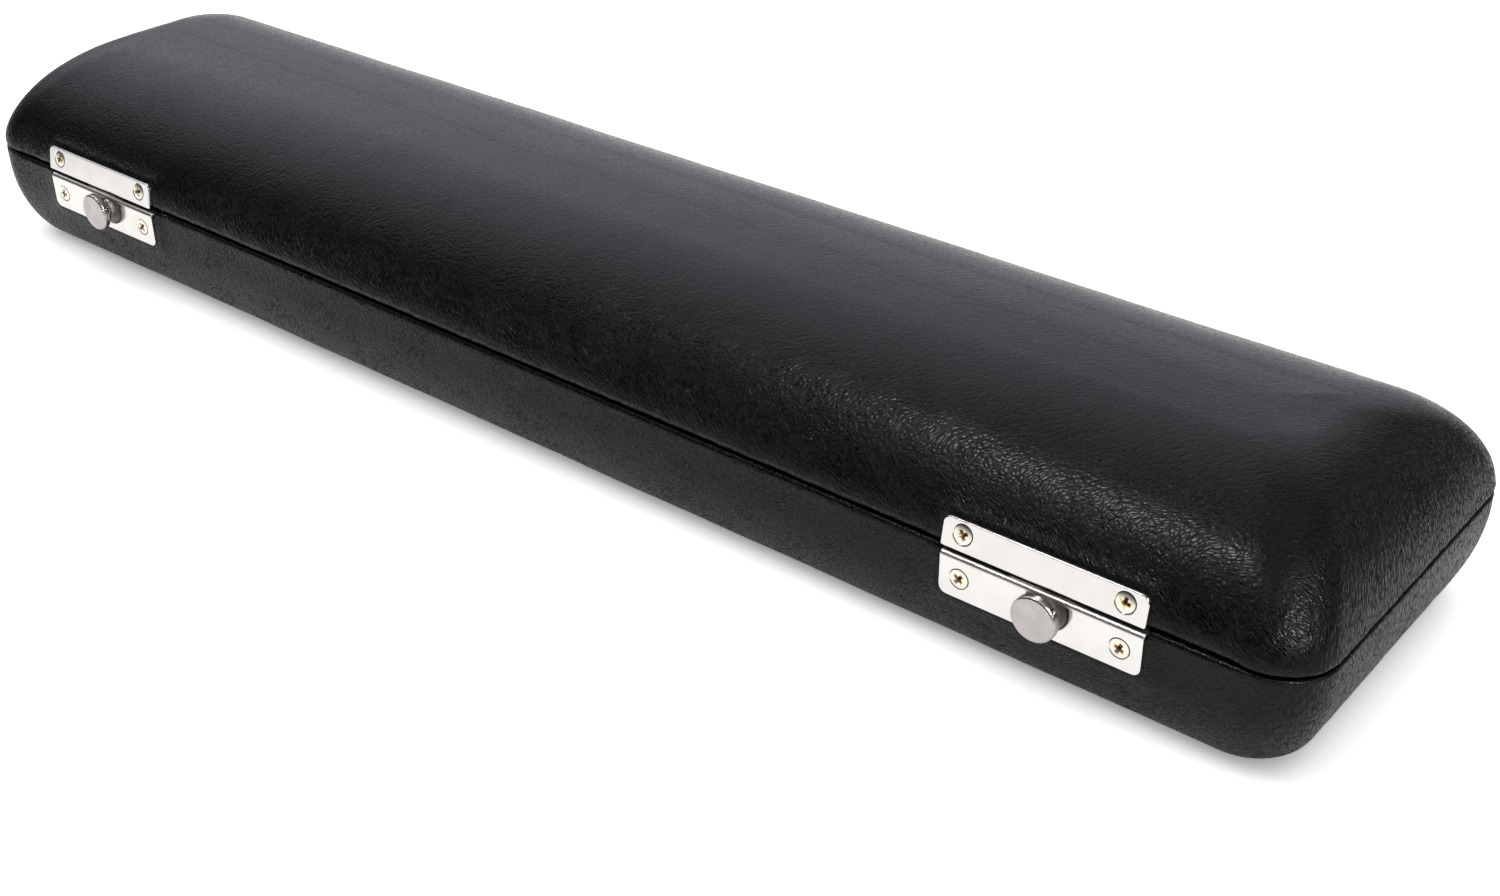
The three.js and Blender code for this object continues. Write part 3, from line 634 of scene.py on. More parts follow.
def waves(P, seed, count, lo, hi, amp):
    """Sum of sines with seeded directions and wavelengths between lo and hi."""
    rng = np.random.default_rng(seed)
    out = np.zeros(len(P))
    for _ in range(count):
        d = rng.normal(size=3)
        d /= np.linalg.norm(d)
        lam = lo * (hi / lo) ** rng.random()
        out += np.sin(P @ d * (2 * np.pi / lam) + rng.random() * 2 * np.pi)
    return out * amp / math.sqrt(count / 2)


def hug(P, N, sgn):
    """How far the leather is drawn out to meet the plates screwed on it, and puffs up round them."""
    x, y, z = P[:, 0], P[:, 1], P[:, 2] * 1.0
    out, hold = np.zeros(len(P)), np.zeros(len(P))
    for sy, centres, half, (z0, z1), lean in (
        (-1, (-LATCH_X, LATCH_X), PLATE_HALF, STRIKE_Z if sgn > 0 else (0.7, 10.2), STRIKE_LEAN if sgn > 0 else 0.0),
        (1, (-HINGE_X, HINGE_X), LEAF_HALF, LEAF_LID_Z if sgn > 0 else (1.8, 10.2), LEAF_LEAN if sgn > 0 else 0.0),
    ):
        for c in centres:
            dx = np.maximum(np.abs(x - c) - half, 0)
            dz = np.maximum(np.maximum(z0 - z, z - z1), 0)
            d = np.hypot(dx, dz)
            near = (sy * y > 38) & (d < 9)
            back = PLATE_FACE - (np.clip(z, z0, z1) - z0) * math.tan(lean) - PLATE_T / math.cos(lean) - 0.07
            zc = np.clip(z, z0, z1)
            side = LID_SIDE if sgn > 0 else BASE_SIDE
            wall = WIDTH / 2 - inset(side, zc)
            lift = np.clip(back - wall, 0, 1.3)
            tight = sgn > 0                  # the lid's leather is drawn tighter
            w = np.exp(-(d / (0.9 if tight else 1.9)) ** 2)
            puff = (0.10 if tight else 0.34) * (d / 1.3) * np.exp(1 - d / 1.3)
            ny = np.clip(np.abs(N[:, 1]), 0.5, 1)
            out = np.where(near, np.maximum(out, (lift * w + puff) / ny), out)
            hold = np.where(near, np.maximum(hold, np.exp(-(np.maximum(d - 0.5, 0) / 2.5) ** 2)), hold)
    return out, hold


SKEW = 1.0
CROWN = (0.35, 0.65)                       # how far the crown falls from its middle line to its front and back edge


def skin(name, side, end, H, sgn, flap, seed):
    """A leather cover with real thickness: face, rolled rim, turned-in flap and back."""
    cols = columns(376, 68, 18)
    cx, cy, th = cols
    nc = len(cx)
    front = np.clip(-cy * (np.abs(np.sin(th)) > 0.5), 0, 1) * np.clip((1 - np.abs(cx)) * 40, 0, 1)
    rh = (1.0 if sgn > 0 else 0.65) + 0.45 * front
    rv = (1.5 if sgn > 0 else 0.85) + (0.7 if sgn > 0 else 0.5) * front
    rows, meta = [], []                    # meta: arc length down from the crown's edge, weight of the waves

    def add(row, t, w):
        rows.append(row); meta.append((t, w))

    hi = H - LEATHER
    fw, fl = WIDTH / 2 - side["a"], LENGTH / 2 - end["a"]
    r_in = max(2.0, CORNER_R - LEATHER - 0.06 * (side["a"] + end["a"]))
    for k in (0.0, 0.35, 0.7):
        add(ring_at(cols, fl - fw * (1 - k), fw * k, r_in * k, hi), 0, 0)
    for k in range(9):
        z = 1.0 + (hi - 1.0) * math.sin((1 - k / 8) * math.pi / 2)
        add(dome_row(cols, side, end, LEATHER, hi, z)[0], 0, 0)
    for off, z in ((flap, 1.0), (flap, SEAM_HALF), (3.4, SEAM_HALF), (1.9, SEAM_HALF)):
        add(ring_at(cols, LENGTH / 2 - off, WIDTH / 2 - off, max(2.0, CORNER_R - off), z), 0, 0)
    for k in range(7):
        a = math.pi / 2 * (1 - k / 6)
        off, z = rh * (1 - math.cos(a)), rv - (rv - SEAM_HALF) * math.sin(a)
        add(ring_at(cols, LENGTH / 2 - off, WIDTH / 2 - off, CORNER_R - off, z), 0, k / 6 * 0.3)
    zs, total = heights(side, 2.4 if sgn > 0 else 1.5, H, 1.0)
    for i, z in enumerate(zs):
        row, (hl, hw, r) = dome_row(cols, side, end, 0.0, H, z)
        add(row, i * 1.0 + 1.5, min(1.0, 0.3 + 0.35 * i))
    n_flat = max(2, int(round(fw / 1.1))) if fw < 20 else 14
    for k in range(1, n_flat + 1):
        u = 1 - k / n_flat
        add(ring_at(cols, fl - fw * (1 - u), fw * u, r * u, H), total + 1.5 + fw * (1 - u), 1.0)
    V = np.concatenate(rows)
    if sgn > 0:                            # the crown isn't quite flat
        lever = np.clip(np.abs(V[:, 1]) / fw, 0, 1) ** 2
        lever = np.maximum(lever, np.clip((np.abs(V[:, 0]) - (fl - fw)) / fw, 0, 1) ** 2)
        outer = np.repeat(np.array([m[1] for m in meta]) > 0, len(cx))
        fall = CROWN[0] + (CROWN[1] - CROWN[0]) * np.clip(0.5 + V[:, 1] / fw, 0, 1)
        V[:, 2] -= np.where(outer, fall * lever * (V[:, 2] / H) ** 6, 0)
    nr = len(rows)
    per = 2 * (LENGTH + WIDTH - 4 * CORNER_R) + 2 * math.pi * CORNER_R
    s = np.arange(nc) / nc * 2 * np.pi
    R = per / (2 * np.pi)
    t = np.repeat(np.array([m[0] for m in meta]), nc)
    weight = np.repeat(np.array([m[1] for m in meta]), nc)
    sx = np.tile(s, nr)
    askew = sx + SKEW * t / R              # the hide was pulled down and along
    flow = np.stack([R * np.cos(askew), R * np.sin(askew), t], -1)
    plumb = np.stack([R * np.cos(sx), R * np.sin(sx), t], -1)
    W = V.copy()
    W[:, 2] = S + sgn * W[:, 2]
    o = new_object(name, W, grid_faces(nr, nc), clean=0)
    me = o.data
    N = np.zeros(len(V) * 3)
    me.vertex_normals.foreach_get("vector", N)
    N = N.reshape(-1, 3)
    flatrows = weight > 0
    N[np.isnan(N).any(1)] = (0, 0, sgn)
    if sgn < 0:
        N[(V[:, 2] >= H - 1e-6) & flatrows] = (0, 0, sgn)
    out, hold = hug(V, N, sgn)
    slope = 1 - np.abs(N[:, 2])
    endness = np.clip(np.abs(N[:, 0]) * 1.3, 0, 1) ** 1.5
    # ridges drawn down the slopes, strongest over the ends
    sm = sx / (2 * np.pi) * per
    rng = np.random.default_rng(seed + 7)
    pull = np.zeros(len(V))
    for lam in (3.6, 4.7, 6.3, 8.9, 13.0):
        k = round(per / lam)
        ph = rng.random() * 6.283
        pull += np.sin(sx * k + ph + 1.2 * np.sin(t * 0.17 + ph * 3) + 0.9 * np.sin(sx * 23 + ph)) * (lam / 13) ** 0.7
    d = (waves(W, seed, 14, 30, 80, 0.055) + waves(W, seed + 1, 26, 7, 15, 0.009)
         + pull * 0.013 * np.clip(slope * 1.6, 0, 1) * (0.3 + 1.1 * endness))
    d = d * weight * (1 - hold) + out * np.clip(weight * 1.4, 0, 1)
    rim = (weight > 0) & (t < 1.0)
    d[rim] += waves(W[rim], seed + 2, 12, 2.2, 7, 0.035)
    W2 = W + N * d[:, None]
    # a rim vertex never crosses into the gap
    lim = S + sgn * SEAM_HALF
    W2[:, 2] = np.where(V[:, 2] < 3, (np.maximum if sgn > 0 else np.minimum)(W2[:, 2], lim), W2[:, 2])
    if sgn < 0:
        W2[:, 2] = np.maximum(W2[:, 2], 0.0)
    me.vertices.foreach_set("co", W2.ravel())
    bm = bmesh.new()
    bm.from_mesh(me)
    bmesh.ops.remove_doubles(bm, verts=bm.verts, dist=1e-3)
    bmesh.ops.dissolve_degenerate(bm, edges=bm.edges, dist=1e-4)
    bmesh.ops.recalc_face_normals(bm, faces=bm.faces)
    bm.to_mesh(me)
    bm.free()
    stretch = np.clip(slope * 1.5, 0, 1) * (0.42 + 0.5 * endness)
    dull = np.clip((np.abs(N[:, 0]) - 0.18) / 0.45, 0, 1)
    keep = weight > 0
    return o, W2[keep], flow[keep], plumb[keep], stretch[keep], dull[keep]


def paint(o, pts, flow, plumb, stretch, dull):
    """Carries the leather's drawn-out direction on to the finished mesh."""
    tree = KDTree(len(pts))
    for i, p in enumerate(pts.tolist()):
        tree.insert(p, i)
    tree.balance()
    co = np.empty(len(o.data.vertices) * 3)
    o.data.vertices.foreach_get("co", co)
    ids = np.array([tree.find(p)[1] for p in co.reshape(-1, 3).tolist()])
    for name, kind, data, key in (("flow", "FLOAT_VECTOR", flow, "vector"), ("plumb", "FLOAT_VECTOR", plumb, "vector"), ("stretch", "FLOAT", stretch, "value"), ("dull", "FLOAT", dull, "value")):
        a = o.data.attributes.new(name, kind, "POINT")
        a.data.foreach_set(key, np.ascontiguousarray(data[ids], dtype=np.float32).ravel())


def shank_tool(x, y, z, lean=0.0, back=False):
    t = lathe("hole", [(0, -3), (1.45, -3), (1.45, 5.4), (0, 5.4)], 20)
    return move(t, spot(x, y, z, lean, back))


def strike_face(z):
    return -(PLATE_FACE - (z - STRIKE_Z[0]) * math.tan(STRIKE_LEAN))


def leaf_face(z):
    return PLATE_FACE - (z - LEAF_LID_Z[0]) * math.tan(LEAF_LEAN)


def covers():
    o, *att = skin("lid_leather", LID_SIDE, LID_END, LID_H, 1, 5.5, 11)
    tools = []
    for _, sx in SIDES:
        x0 = sx * LATCH_X
        tools.append(block("notch", x0 - 7.9, x0 + 7.9, -50, -44.5, S - 1, S + 1.9))
        for d in (-1, 1):
            tools.append(shank_tool(x0 + d * SCREW_DX, strike_face(STRIKE_SCREW_Z), S + STRIKE_SCREW_Z, STRIKE_LEAN))
            tools.append(shank_tool(sx * HINGE_X + d * HINGE_SCREW_DX, leaf_face(HINGE_LID_SCREW_Z), S + HINGE_LID_SCREW_Z, LEAF_LEAN, True))
    boolean(o, tools)
    paint(o, *att)
    piece(o, "lid", M_LEATHER, ["lid_cover"], angle=50, weighted=False, clean=False)

    o, *att = skin("base_leather", BASE_SIDE, BASE_END, BASE_H, -1, 6.0, 23)
    tools = []
    for _, sx in SIDES:
        x0 = sx * LATCH_X
        xb = x0 + BUTTON_DX
        tools.append(block("notch", x0 - 22.5, x0 + 22.5, -50, -43.2, S - 1.95, S + 1))
        tools.append(block("pocket", xb - POCKET_HALF, xb + POCKET_HALF, -50, POCKET_BACK, S + POCKET_END, S + 1.1))
        for d in (-1, 1):
            tools.append(shank_tool(x0 + d * SCREW_DX, -PLATE_FACE, S + LOWER_SCREW_Z))
            tools.append(shank_tool(sx * HINGE_X + d * HINGE_SCREW_DX, PLATE_FACE, S + HINGE_BASE_SCREW_Z, 0, True))
    boolean(o, tools)
    paint(o, *att)
    piece(o, "base", M_LEATHER, ["base_cover"], angle=50, weighted=False, clean=False)


covers()


# ======================================================================================
# latches
# ======================================================================================
def sink_tool(m):
    """Countersink with a small chamfer at the plate's face (y = 0)."""
    t = lathe("sink", [(0, -0.6), (2.42, -0.6), (2.42, -0.02), (2.26, 0.06), (2.18, 0.14), (1.26, 0.95), (1.26, 2.0), (0, 2.0)], 48)
    return move(t, m)


RISE = 0.16                                # how far a screw's crown stands out


def screw_template():
    prof = [(0.0, 0.02 - RISE)]
    for k in (0.2, 0.4, 0.55, 0.7, 0.8, 0.88, 0.94, 0.98, 1.0):
        prof.append((2.02 * k, 0.02 - RISE * (1 - k ** 3.2)))
    prof += [(2.02, 0.07), (1.97, 0.12), (1.05, 0.98), (1.02, 1.4), (0.95, 3.9), (0.5, 4.6), (0.0, 5.0)]
    o = lathe("screw", prof, 40)
    cross = lambda L, w: [(L, w), (w, w), (w, L), (-w, L), (-w, w), (-L, w), (-L, -w), (-w, -w), (-w, -L), (w, -L), (w, -w), (L, -w)]
    rings = [[(x, y, -z) for x, z in cross(L, w)] for y, L, w in ((-1.2, 1.75, 0.52), (-0.14, 1.28, 0.40), (0.35, 0.80, 0.27), (0.80, 0.3, 0.16))]
    boolean(o, [loft("cross", rings)])
    co = np.empty(len(o.data.vertices) * 3)
    o.data.vertices.foreach_get("co", co)
    co = co.reshape(-1, 3)
    r = np.hypot(co[:, 0], co[:, 2])
    surface = 0.02 - RISE * (1 - (r / 2.02) ** 3.2)
    # depth in the recess, which the screw material colours as old polish with painted shade deepening towards the
    # bottom
    pit = np.clip((co[:, 1] - surface) / 1.0, 0, 1) * (r < 1.35)
    a = o.data.attributes.new("pit", "FLOAT", "POINT")
    a.data.foreach_set("value", pit.astype(np.float32))
    return o


SCREW = screw_template()
SCREW.hide_render = SCREW.hide_viewport = True


def put_screw(name, body, m, node):
    o = bpy.data.objects.new(name, SCREW.data.copy())
    scene.collection.objects.link(o)
    move(o, m)
    piece(o, body, M_SCREW, [node], angle=30, clean=False)


def bend_plate(o, x0):
    """Bends the top of a flat sheet inwards round the rim. Local z runs up the sheet from z = 0."""
    R = 1.05
    z0 = S + LOWER_Z[0]
    u0 = (S + LOWER_Z[1] - R) - z0                       # where the bend starts
    L = R * math.pi / 2
    bm = bmesh.new()
    bm.from_mesh(o.data)
    for u in [u0 + L * i / 10 for i in range(11)]:
        geom = bm.verts[:] + bm.edges[:] + bm.faces[:]
        bmesh.ops.bisect_plane(bm, geom=geom, plane_co=(0, 0, u), plane_no=(0, 0, 1), dist=1e-5)
    for v in bm.verts:
        x, y, u = v.co
        if u <= u0:
            p = (x, -PLATE_FACE + y, z0 + u)
        elif u <= u0 + L:
            a = (u - u0) / R
            p = (x, -PLATE_FACE + R - (R - y) * math.cos(a), z0 + u0 + (R - y) * math.sin(a))
        else:
            p = (x, -PLATE_FACE + R + (u - u0 - L), z0 + u0 + R - y)
        v.co = (p[0] + x0, p[1], p[2])
    bm.to_mesh(o.data)
    bm.free()
    return o


def soften(o, width, segments=2, angle=40):
    """A small rounded edge on a machined piece."""
    b = o.modifiers.new("bevel", "BEVEL")
    b.width, b.segments, b.limit_method, b.angle_limit = width, segments, "ANGLE", math.radians(angle)
    b.use_clamp_overlap = True
    bpy.context.view_layer.update()
    me = bpy.data.meshes.new_from_object(o.evaluated_get(bpy.context.evaluated_depsgraph_get()))
    o.modifiers.remove(b)
    old, o.data = o.data, me
    bpy.data.meshes.remove(old)
    return o


def coil(name, x, z, y0, y1, r0, r1, wire, turns, seg=28, around=10):
    n = int(turns * seg)
    V = []
    for i in range(n + 1):
        u = i / n
        t = turns * 2 * math.pi * u
        R = r0 + (r1 - r0) * u
        # a nearly flat first and last quarter turn
        h = min(max((u * turns - 0.18) / (turns - 0.36), 0), 1)
        c = Vector((x + R * math.cos(t), y0 + (y1 - y0) * h, z + R * math.sin(t)))
        rad, ax = Vector((math.cos(t), 0, math.sin(t))), Vector((0, 1, 0))
        k = wire * (1 if 0 < i < n else 0.85)
        for j in range(around):
            a = 2 * math.pi * j / around
            V.append(c + rad * (k * math.cos(a)) + ax * (k * math.sin(a)))
    F = [list(f) for f in grid_faces(n + 1, around)]
    F.append(list(range(around)))
    F.append(list(range(n * around, (n + 1) * around))[::-1])
    return new_object(name, V, F)


TURNS = {"left": (12, 47, 20, 70), "right": (38, 25, 62, 8)}


def latches():
    for side, sx in SIDES:
        x0 = sx * LATCH_X
        xb = x0 + BUTTON_DX
        body = side + "_button"
        # lower plate, cut flat and bent over the rim
        flat_h = (LOWER_Z[1] - 1.05 - LOWER_Z[0]) + 1.05 * math.pi / 2 + (47.2 - 1.05 - 43.7)
        o = slab(side + "_lower_plate", -PLATE_HALF, PLATE_HALF, 0, flat_h, PLATE_T, (PLATE_R, 0.35, 0.35, PLATE_R), bevel=0.18, seg=8)
        bend_plate(o, x0)
        tools = [sink_tool(spot(x0 + d * SCREW_DX, -PLATE_FACE, S + LOWER_SCREW_Z)) for d in (-1, 1)]
        neck = lathe("neck", [(0, -0.6), (3.2, -0.6), (3.2, -0.03), (2.96, 0.14), (2.96, 2), (0, 2)], 72)
        tools.append(move(neck, spot(xb, -PLATE_FACE, S + BUTTON_Z)))
        tools.append(block("slot", x0 - 7.7, x0 + 7.7, -46.1, -43, S - 3, S + 1))
        boolean(o, tools)
        piece(o, "base", M_NICKEL, [side + "_latch_plate"], angle=30)
        # upper plate with its web and tongue
        h = (STRIKE_Z[1] - STRIKE_Z[0]) / math.cos(STRIKE_LEAN)
        o = slab(side + "_upper_plate", -PLATE_HALF, PLATE_HALF, 0, h, PLATE_T, (0.5, PLATE_R, PLATE_R, 0.5), bevel=0.2, seg=8)
        move(o, Matrix.Translation((x0, -PLATE_FACE, S + STRIKE_Z[0])) @ Matrix.Rotation(-STRIKE_LEAN, 4, "X"))
        web = block("web", x0 - TONGUE_HALF, x0 + TONGUE_HALF, -46.75, TONGUE_Y[1], S + STRIKE_Z[0] + 0.05, S + STRIKE_Z[0] + 0.85)
        tongue = block("tongue", x0 - TONGUE_HALF, x0 + TONGUE_HALF, TONGUE_Y[0], TONGUE_Y[1], S + TONGUE_END, S + STRIKE_Z[0] + 0.6)
        boolean(o, [web, tongue], "UNION")
        tools = [block("window", xb - 4.5, xb + 4.5, -46.6, -44, S - 2.9, S - 1.3)]
        tools += [sink_tool(spot(x0 + d * SCREW_DX, strike_face(STRIKE_SCREW_Z), S + STRIKE_SCREW_Z, STRIKE_LEAN)) for d in (-1, 1)]
        boolean(o, tools)
        piece(o, "lid", M_NICKEL, [side + "_strike_plate"], angle=30)
        # screws, each left at its own angle
        for i, (tag, d) in enumerate((("a", -1), ("b", 1))):
            t = TURNS[side]
            put_screw(f"{side}_lower_screw_{tag}", "base", spot(x0 + d * SCREW_DX, -PLATE_FACE, S + LOWER_SCREW_Z, 0, False, math.radians(t[i])), f"{side}_latch_screw_{tag}")
            put_screw(f"{side}_upper_screw_{tag}", "lid", spot(x0 + d * SCREW_DX, strike_face(STRIKE_SCREW_Z), S + STRIKE_SCREW_Z, STRIKE_LEAN, False, math.radians(t[i + 2])), f"{side}_strike_screw_{tag}")
        # turned button
        f = -BUTTON_FACE
        u = f + HEAD_T
        prof = [(0, f)] + [(r, f) for r in (0.8, 1.6, 2.4, 3.2, 3.9, 4.22)]
        prof += [(r, y) for r, y in arc(4.35, f + 0.55, 0.55, -90, 0, 9)]
        prof += [(HEAD_R, f + 0.8), (HEAD_R, u - 0.34)]
        prof += [(r, y) for r, y in arc(HEAD_R - 0.25, u - 0.25, 0.25, 0, 90, 6)]
        prof += [(4.52, u), (4.4, u), (3.8, u), (NECK_R + 0.3, u), (NECK_R + 0.08, u + 0.05), (NECK_R, u + 0.2),
                 (NECK_R, -47.0), (SHANK_R, -47.0), (SHANK_R, CATCH_Y[0] - 0.06),
                 (1.05, CATCH_Y[0] - 0.06), (1.05, CATCH_Y[1] + 0.06), (1.75, CATCH_Y[1] + 0.06), (1.7, -42.85), (1.5, -42.75), (0, -42.75)]
        o = lathe(side + "_button", prof, 96, at=(xb, 0, S + BUTTON_Z))
        co = np.empty(len(o.data.vertices) * 3)
        o.data.vertices.foreach_get("co", co)
        co = co.reshape(-1, 3)
        r = np.hypot(co[:, 0] - xb, co[:, 2] - S - BUTTON_Z)
        # painted shade: black at the head's back edge where the undercut lies in shadow, half dark on the head's side
        soot = np.where((r > 4.5) & (co[:, 1] > u - 0.3) & (co[:, 1] < u + 0.01), 1.0, np.where((r > 4.8) & (co[:, 1] > f + 0.75), 0.5, 0.0))
        a = o.data.attributes.new("soot", "FLOAT", "POINT")
        a.data.foreach_set("value", soot.astype(np.float32))
        piece(o, body, M_BUTTON, [side + "_push_button"], angle=28)
        # catch: steel plate with a sloped nose, riveted on the shank
        o = slab(side + "_catch_plate", xb - 6, xb + 6, S - 8.6, S - 1.0, CATCH_Y[1] - CATCH_Y[0], (0.8, 0.5, 0.5, 0.8), bevel=0.1, back=0.06)
        move(o, Matrix.Translation((0, CATCH_Y[0], 0)))
        nose = prism("nose", [(CATCH_Y[0] + 0.3, S - 2.7), (CATCH_Y[0] + 0.3, S - 1.1), (CATCH_Y[0] - 0.02, S - 1.3), (TONGUE_Y[1] + 0.3, S - 2.2), (TONGUE_Y[1] + 0.3, S - 2.7)], xb - 3.5, xb + 3.5)
        boolean(o, [nose], "UNION")
        boolean(o, [lathe("rivet_hole", [(0, -46), (1.15, -46), (1.15, -42), (0, -42)], 32, at=(xb, 0, S + BUTTON_Z))])
        piece(o, body, M_STEEL, [side + "_catch"], angle=30)
        # coil spring, wider at its far end so that the turns sink into one another
        y0, y1, wire = CATCH_Y[1] + 0.32, POCKET_BACK - 0.32, 0.17
        o = coil(side + "_spring", xb, S + BUTTON_Z, y0, y1, 2.05, 2.95, wire, 2)
        piece(o, body, M_STEEL, [side + "_catch_spring"], angle=60, weighted=False)
        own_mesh(o)


latches()


# ======================================================================================
# hinges
# ======================================================================================
def hinges():
    for side, sx in SIDES:
        xh = sx * HINGE_X
        own = {"base": (0, 2, 4), "lid": (1, 3)}
        for half in ("base", "lid"):
            if half == "base":
                o = slab(f"{side}_hinge_{half}", -LEAF_HALF, LEAF_HALF, LEAF_BASE_Z[0], LEAF_BASE_Z[1], PLATE_T, (PLATE_R, 0.1, 0.1, PLATE_R), bevel=0.18)
                move(o, spot(xh, PLATE_FACE, S, 0, True))
            else:
                h = (LEAF_LID_Z[1] - LEAF_LID_Z[0]) / math.cos(LEAF_LEAN)
                o = slab(f"{side}_hinge_{half}", -LEAF_HALF, LEAF_HALF, 0, h, PLATE_T, (0.1, PLATE_R, PLATE_R, 0.1), bevel=0.18)
                move(o, spot(xh, PLATE_FACE, S + LEAF_LID_Z[0], LEAF_LEAN, True))
            parts = []
            for k in own[half]:
                a = xh - LEAF_HALF + k * STEP + (KG if k else 0)
                b = xh - LEAF_HALF + (k + 1) * STEP - (KG if k < 4 else 0)
                c = 0.12
                parts.append(lathe("knuckle", [(BORE_R, a), (KNUCKLE_R - c, a), (KNUCKLE_R, a + c), (KNUCKLE_R, b - c), (KNUCKLE_R - c, b), (BORE_R, b)], 40, closed=True, axis="X", at=(0, HINGE_Y, S)))
                zs = (S - 2.1, S - 0.2) if half == "base" else (S + 0.2, S + 2.1)
                parts.append(block("root", a, b, PLATE_BACK, PLATE_FACE, *zs))
            boolean(o, parts, "UNION")
            tools = [lathe("bore", [(0, xh - 20), (BORE_R, xh - 20), (BORE_R, xh + 20), (0, xh + 20)], 40, axis="X", at=(0, HINGE_Y, S))]
            for d in (-1, 1):
                m = spot(xh + d * HINGE_SCREW_DX, PLATE_FACE, S + HINGE_BASE_SCREW_Z, 0, True) if half == "base" else \
                    spot(xh + d * HINGE_SCREW_DX, leaf_face(HINGE_LID_SCREW_Z), S + HINGE_LID_SCREW_Z, LEAF_LEAN, True)
                tools.append(sink_tool(m))
            boolean(o, tools)
            piece(o, half, M_NICKEL, [f"{side}_hinge_{half}_leaf"], angle=30)
        e = xh - LEAF_HALF
        prof = [(0, e), (0.45, e + 0.02), (0.7, e + 0.12), (PIN_R, e + 0.3), (PIN_R, e + 35.7), (0.7, e + 35.88), (0.45, e + 35.98), (0, e + 36)]
        o = lathe(side + "_pin", prof, 32, axis="X", at=(0, HINGE_Y, S))
        piece(o, "base", M_STEEL, [side + "_hinge_pin"], angle=40)
        for i, (tag, d) in enumerate((("a", -1), ("b", 1))):
            x = xh + d * HINGE_SCREW_DX
            put_screw(f"{side}_hinge_low_screw_{tag}", "base", spot(x, PLATE_FACE, S + HINGE_BASE_SCREW_Z, 0, True, math.radians(31 + 40 * i + 17 * sx)), f"{side}_hinge_base_screw_{tag}")
            put_screw(f"{side}_hinge_top_screw_{tag}", "lid", spot(x, leaf_face(HINGE_LID_SCREW_Z), S + HINGE_LID_SCREW_Z, LEAF_LEAN, True, math.radians(75 - 33 * i + 11 * sx)), f"{side}_hinge_lid_screw_{tag}")


hinges()
bpy.data.objects.remove(SCREW)


# ======================================================================================
# inside
# ======================================================================================
def evaluated(o):
    bpy.context.view_layer.update()
    me = bpy.data.meshes.new_from_object(o.evaluated_get(bpy.context.evaluated_depsgraph_get()))
    o.modifiers.clear()
    old, o.data = o.data, me
    bpy.data.meshes.remove(old)
    return o


def fitted_block():
    """Velvet drawn over the fitted block: every edge of a trough is rounded by the cloth."""
    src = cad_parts["base_insert"]
    o = bpy.data.objects.new("fitted_block", src.data.copy())
    scene.collection.objects.link(o)
    o.matrix_world = Matrix.Identity(4)
    bm = bmesh.new()
    bm.from_mesh(o.data)
    bmesh.ops.remove_doubles(bm, verts=bm.verts, dist=1e-6)
    bm.to_mesh(o.data)
    bm.free()
    r = o.modifiers.new("cloth", "REMESH")
    r.mode, r.voxel_size, r.use_smooth_shade = "VOXEL", 0.0013, True
    s = o.modifiers.new("soft", "SMOOTH")
    s.factor, s.iterations = 0.5, 5
    evaluated(o)
    me = o.data
    me.transform(Matrix.Scale(1 / MM, 4))
    co = np.empty(len(me.vertices) * 3)
    me.vertices.foreach_get("co", co)
    co = co.reshape(-1, 3)
    N = np.empty(len(me.vertices) * 3)
    me.vertex_normals.foreach_get("vector", N)
    N = N.reshape(-1, 3)
    up = np.clip((co[:, 2] - 9) / 4, 0, 1)
    co = co + N * ((waves(co, 41, 12, 18, 50, 0.06) - 0.12) * up)[:, None]
    me.vertices.foreach_set("co", co.ravel())
    piece(o, "base", M_VELVET, ["base_insert"], angle=180, weighted=False, clean=False)


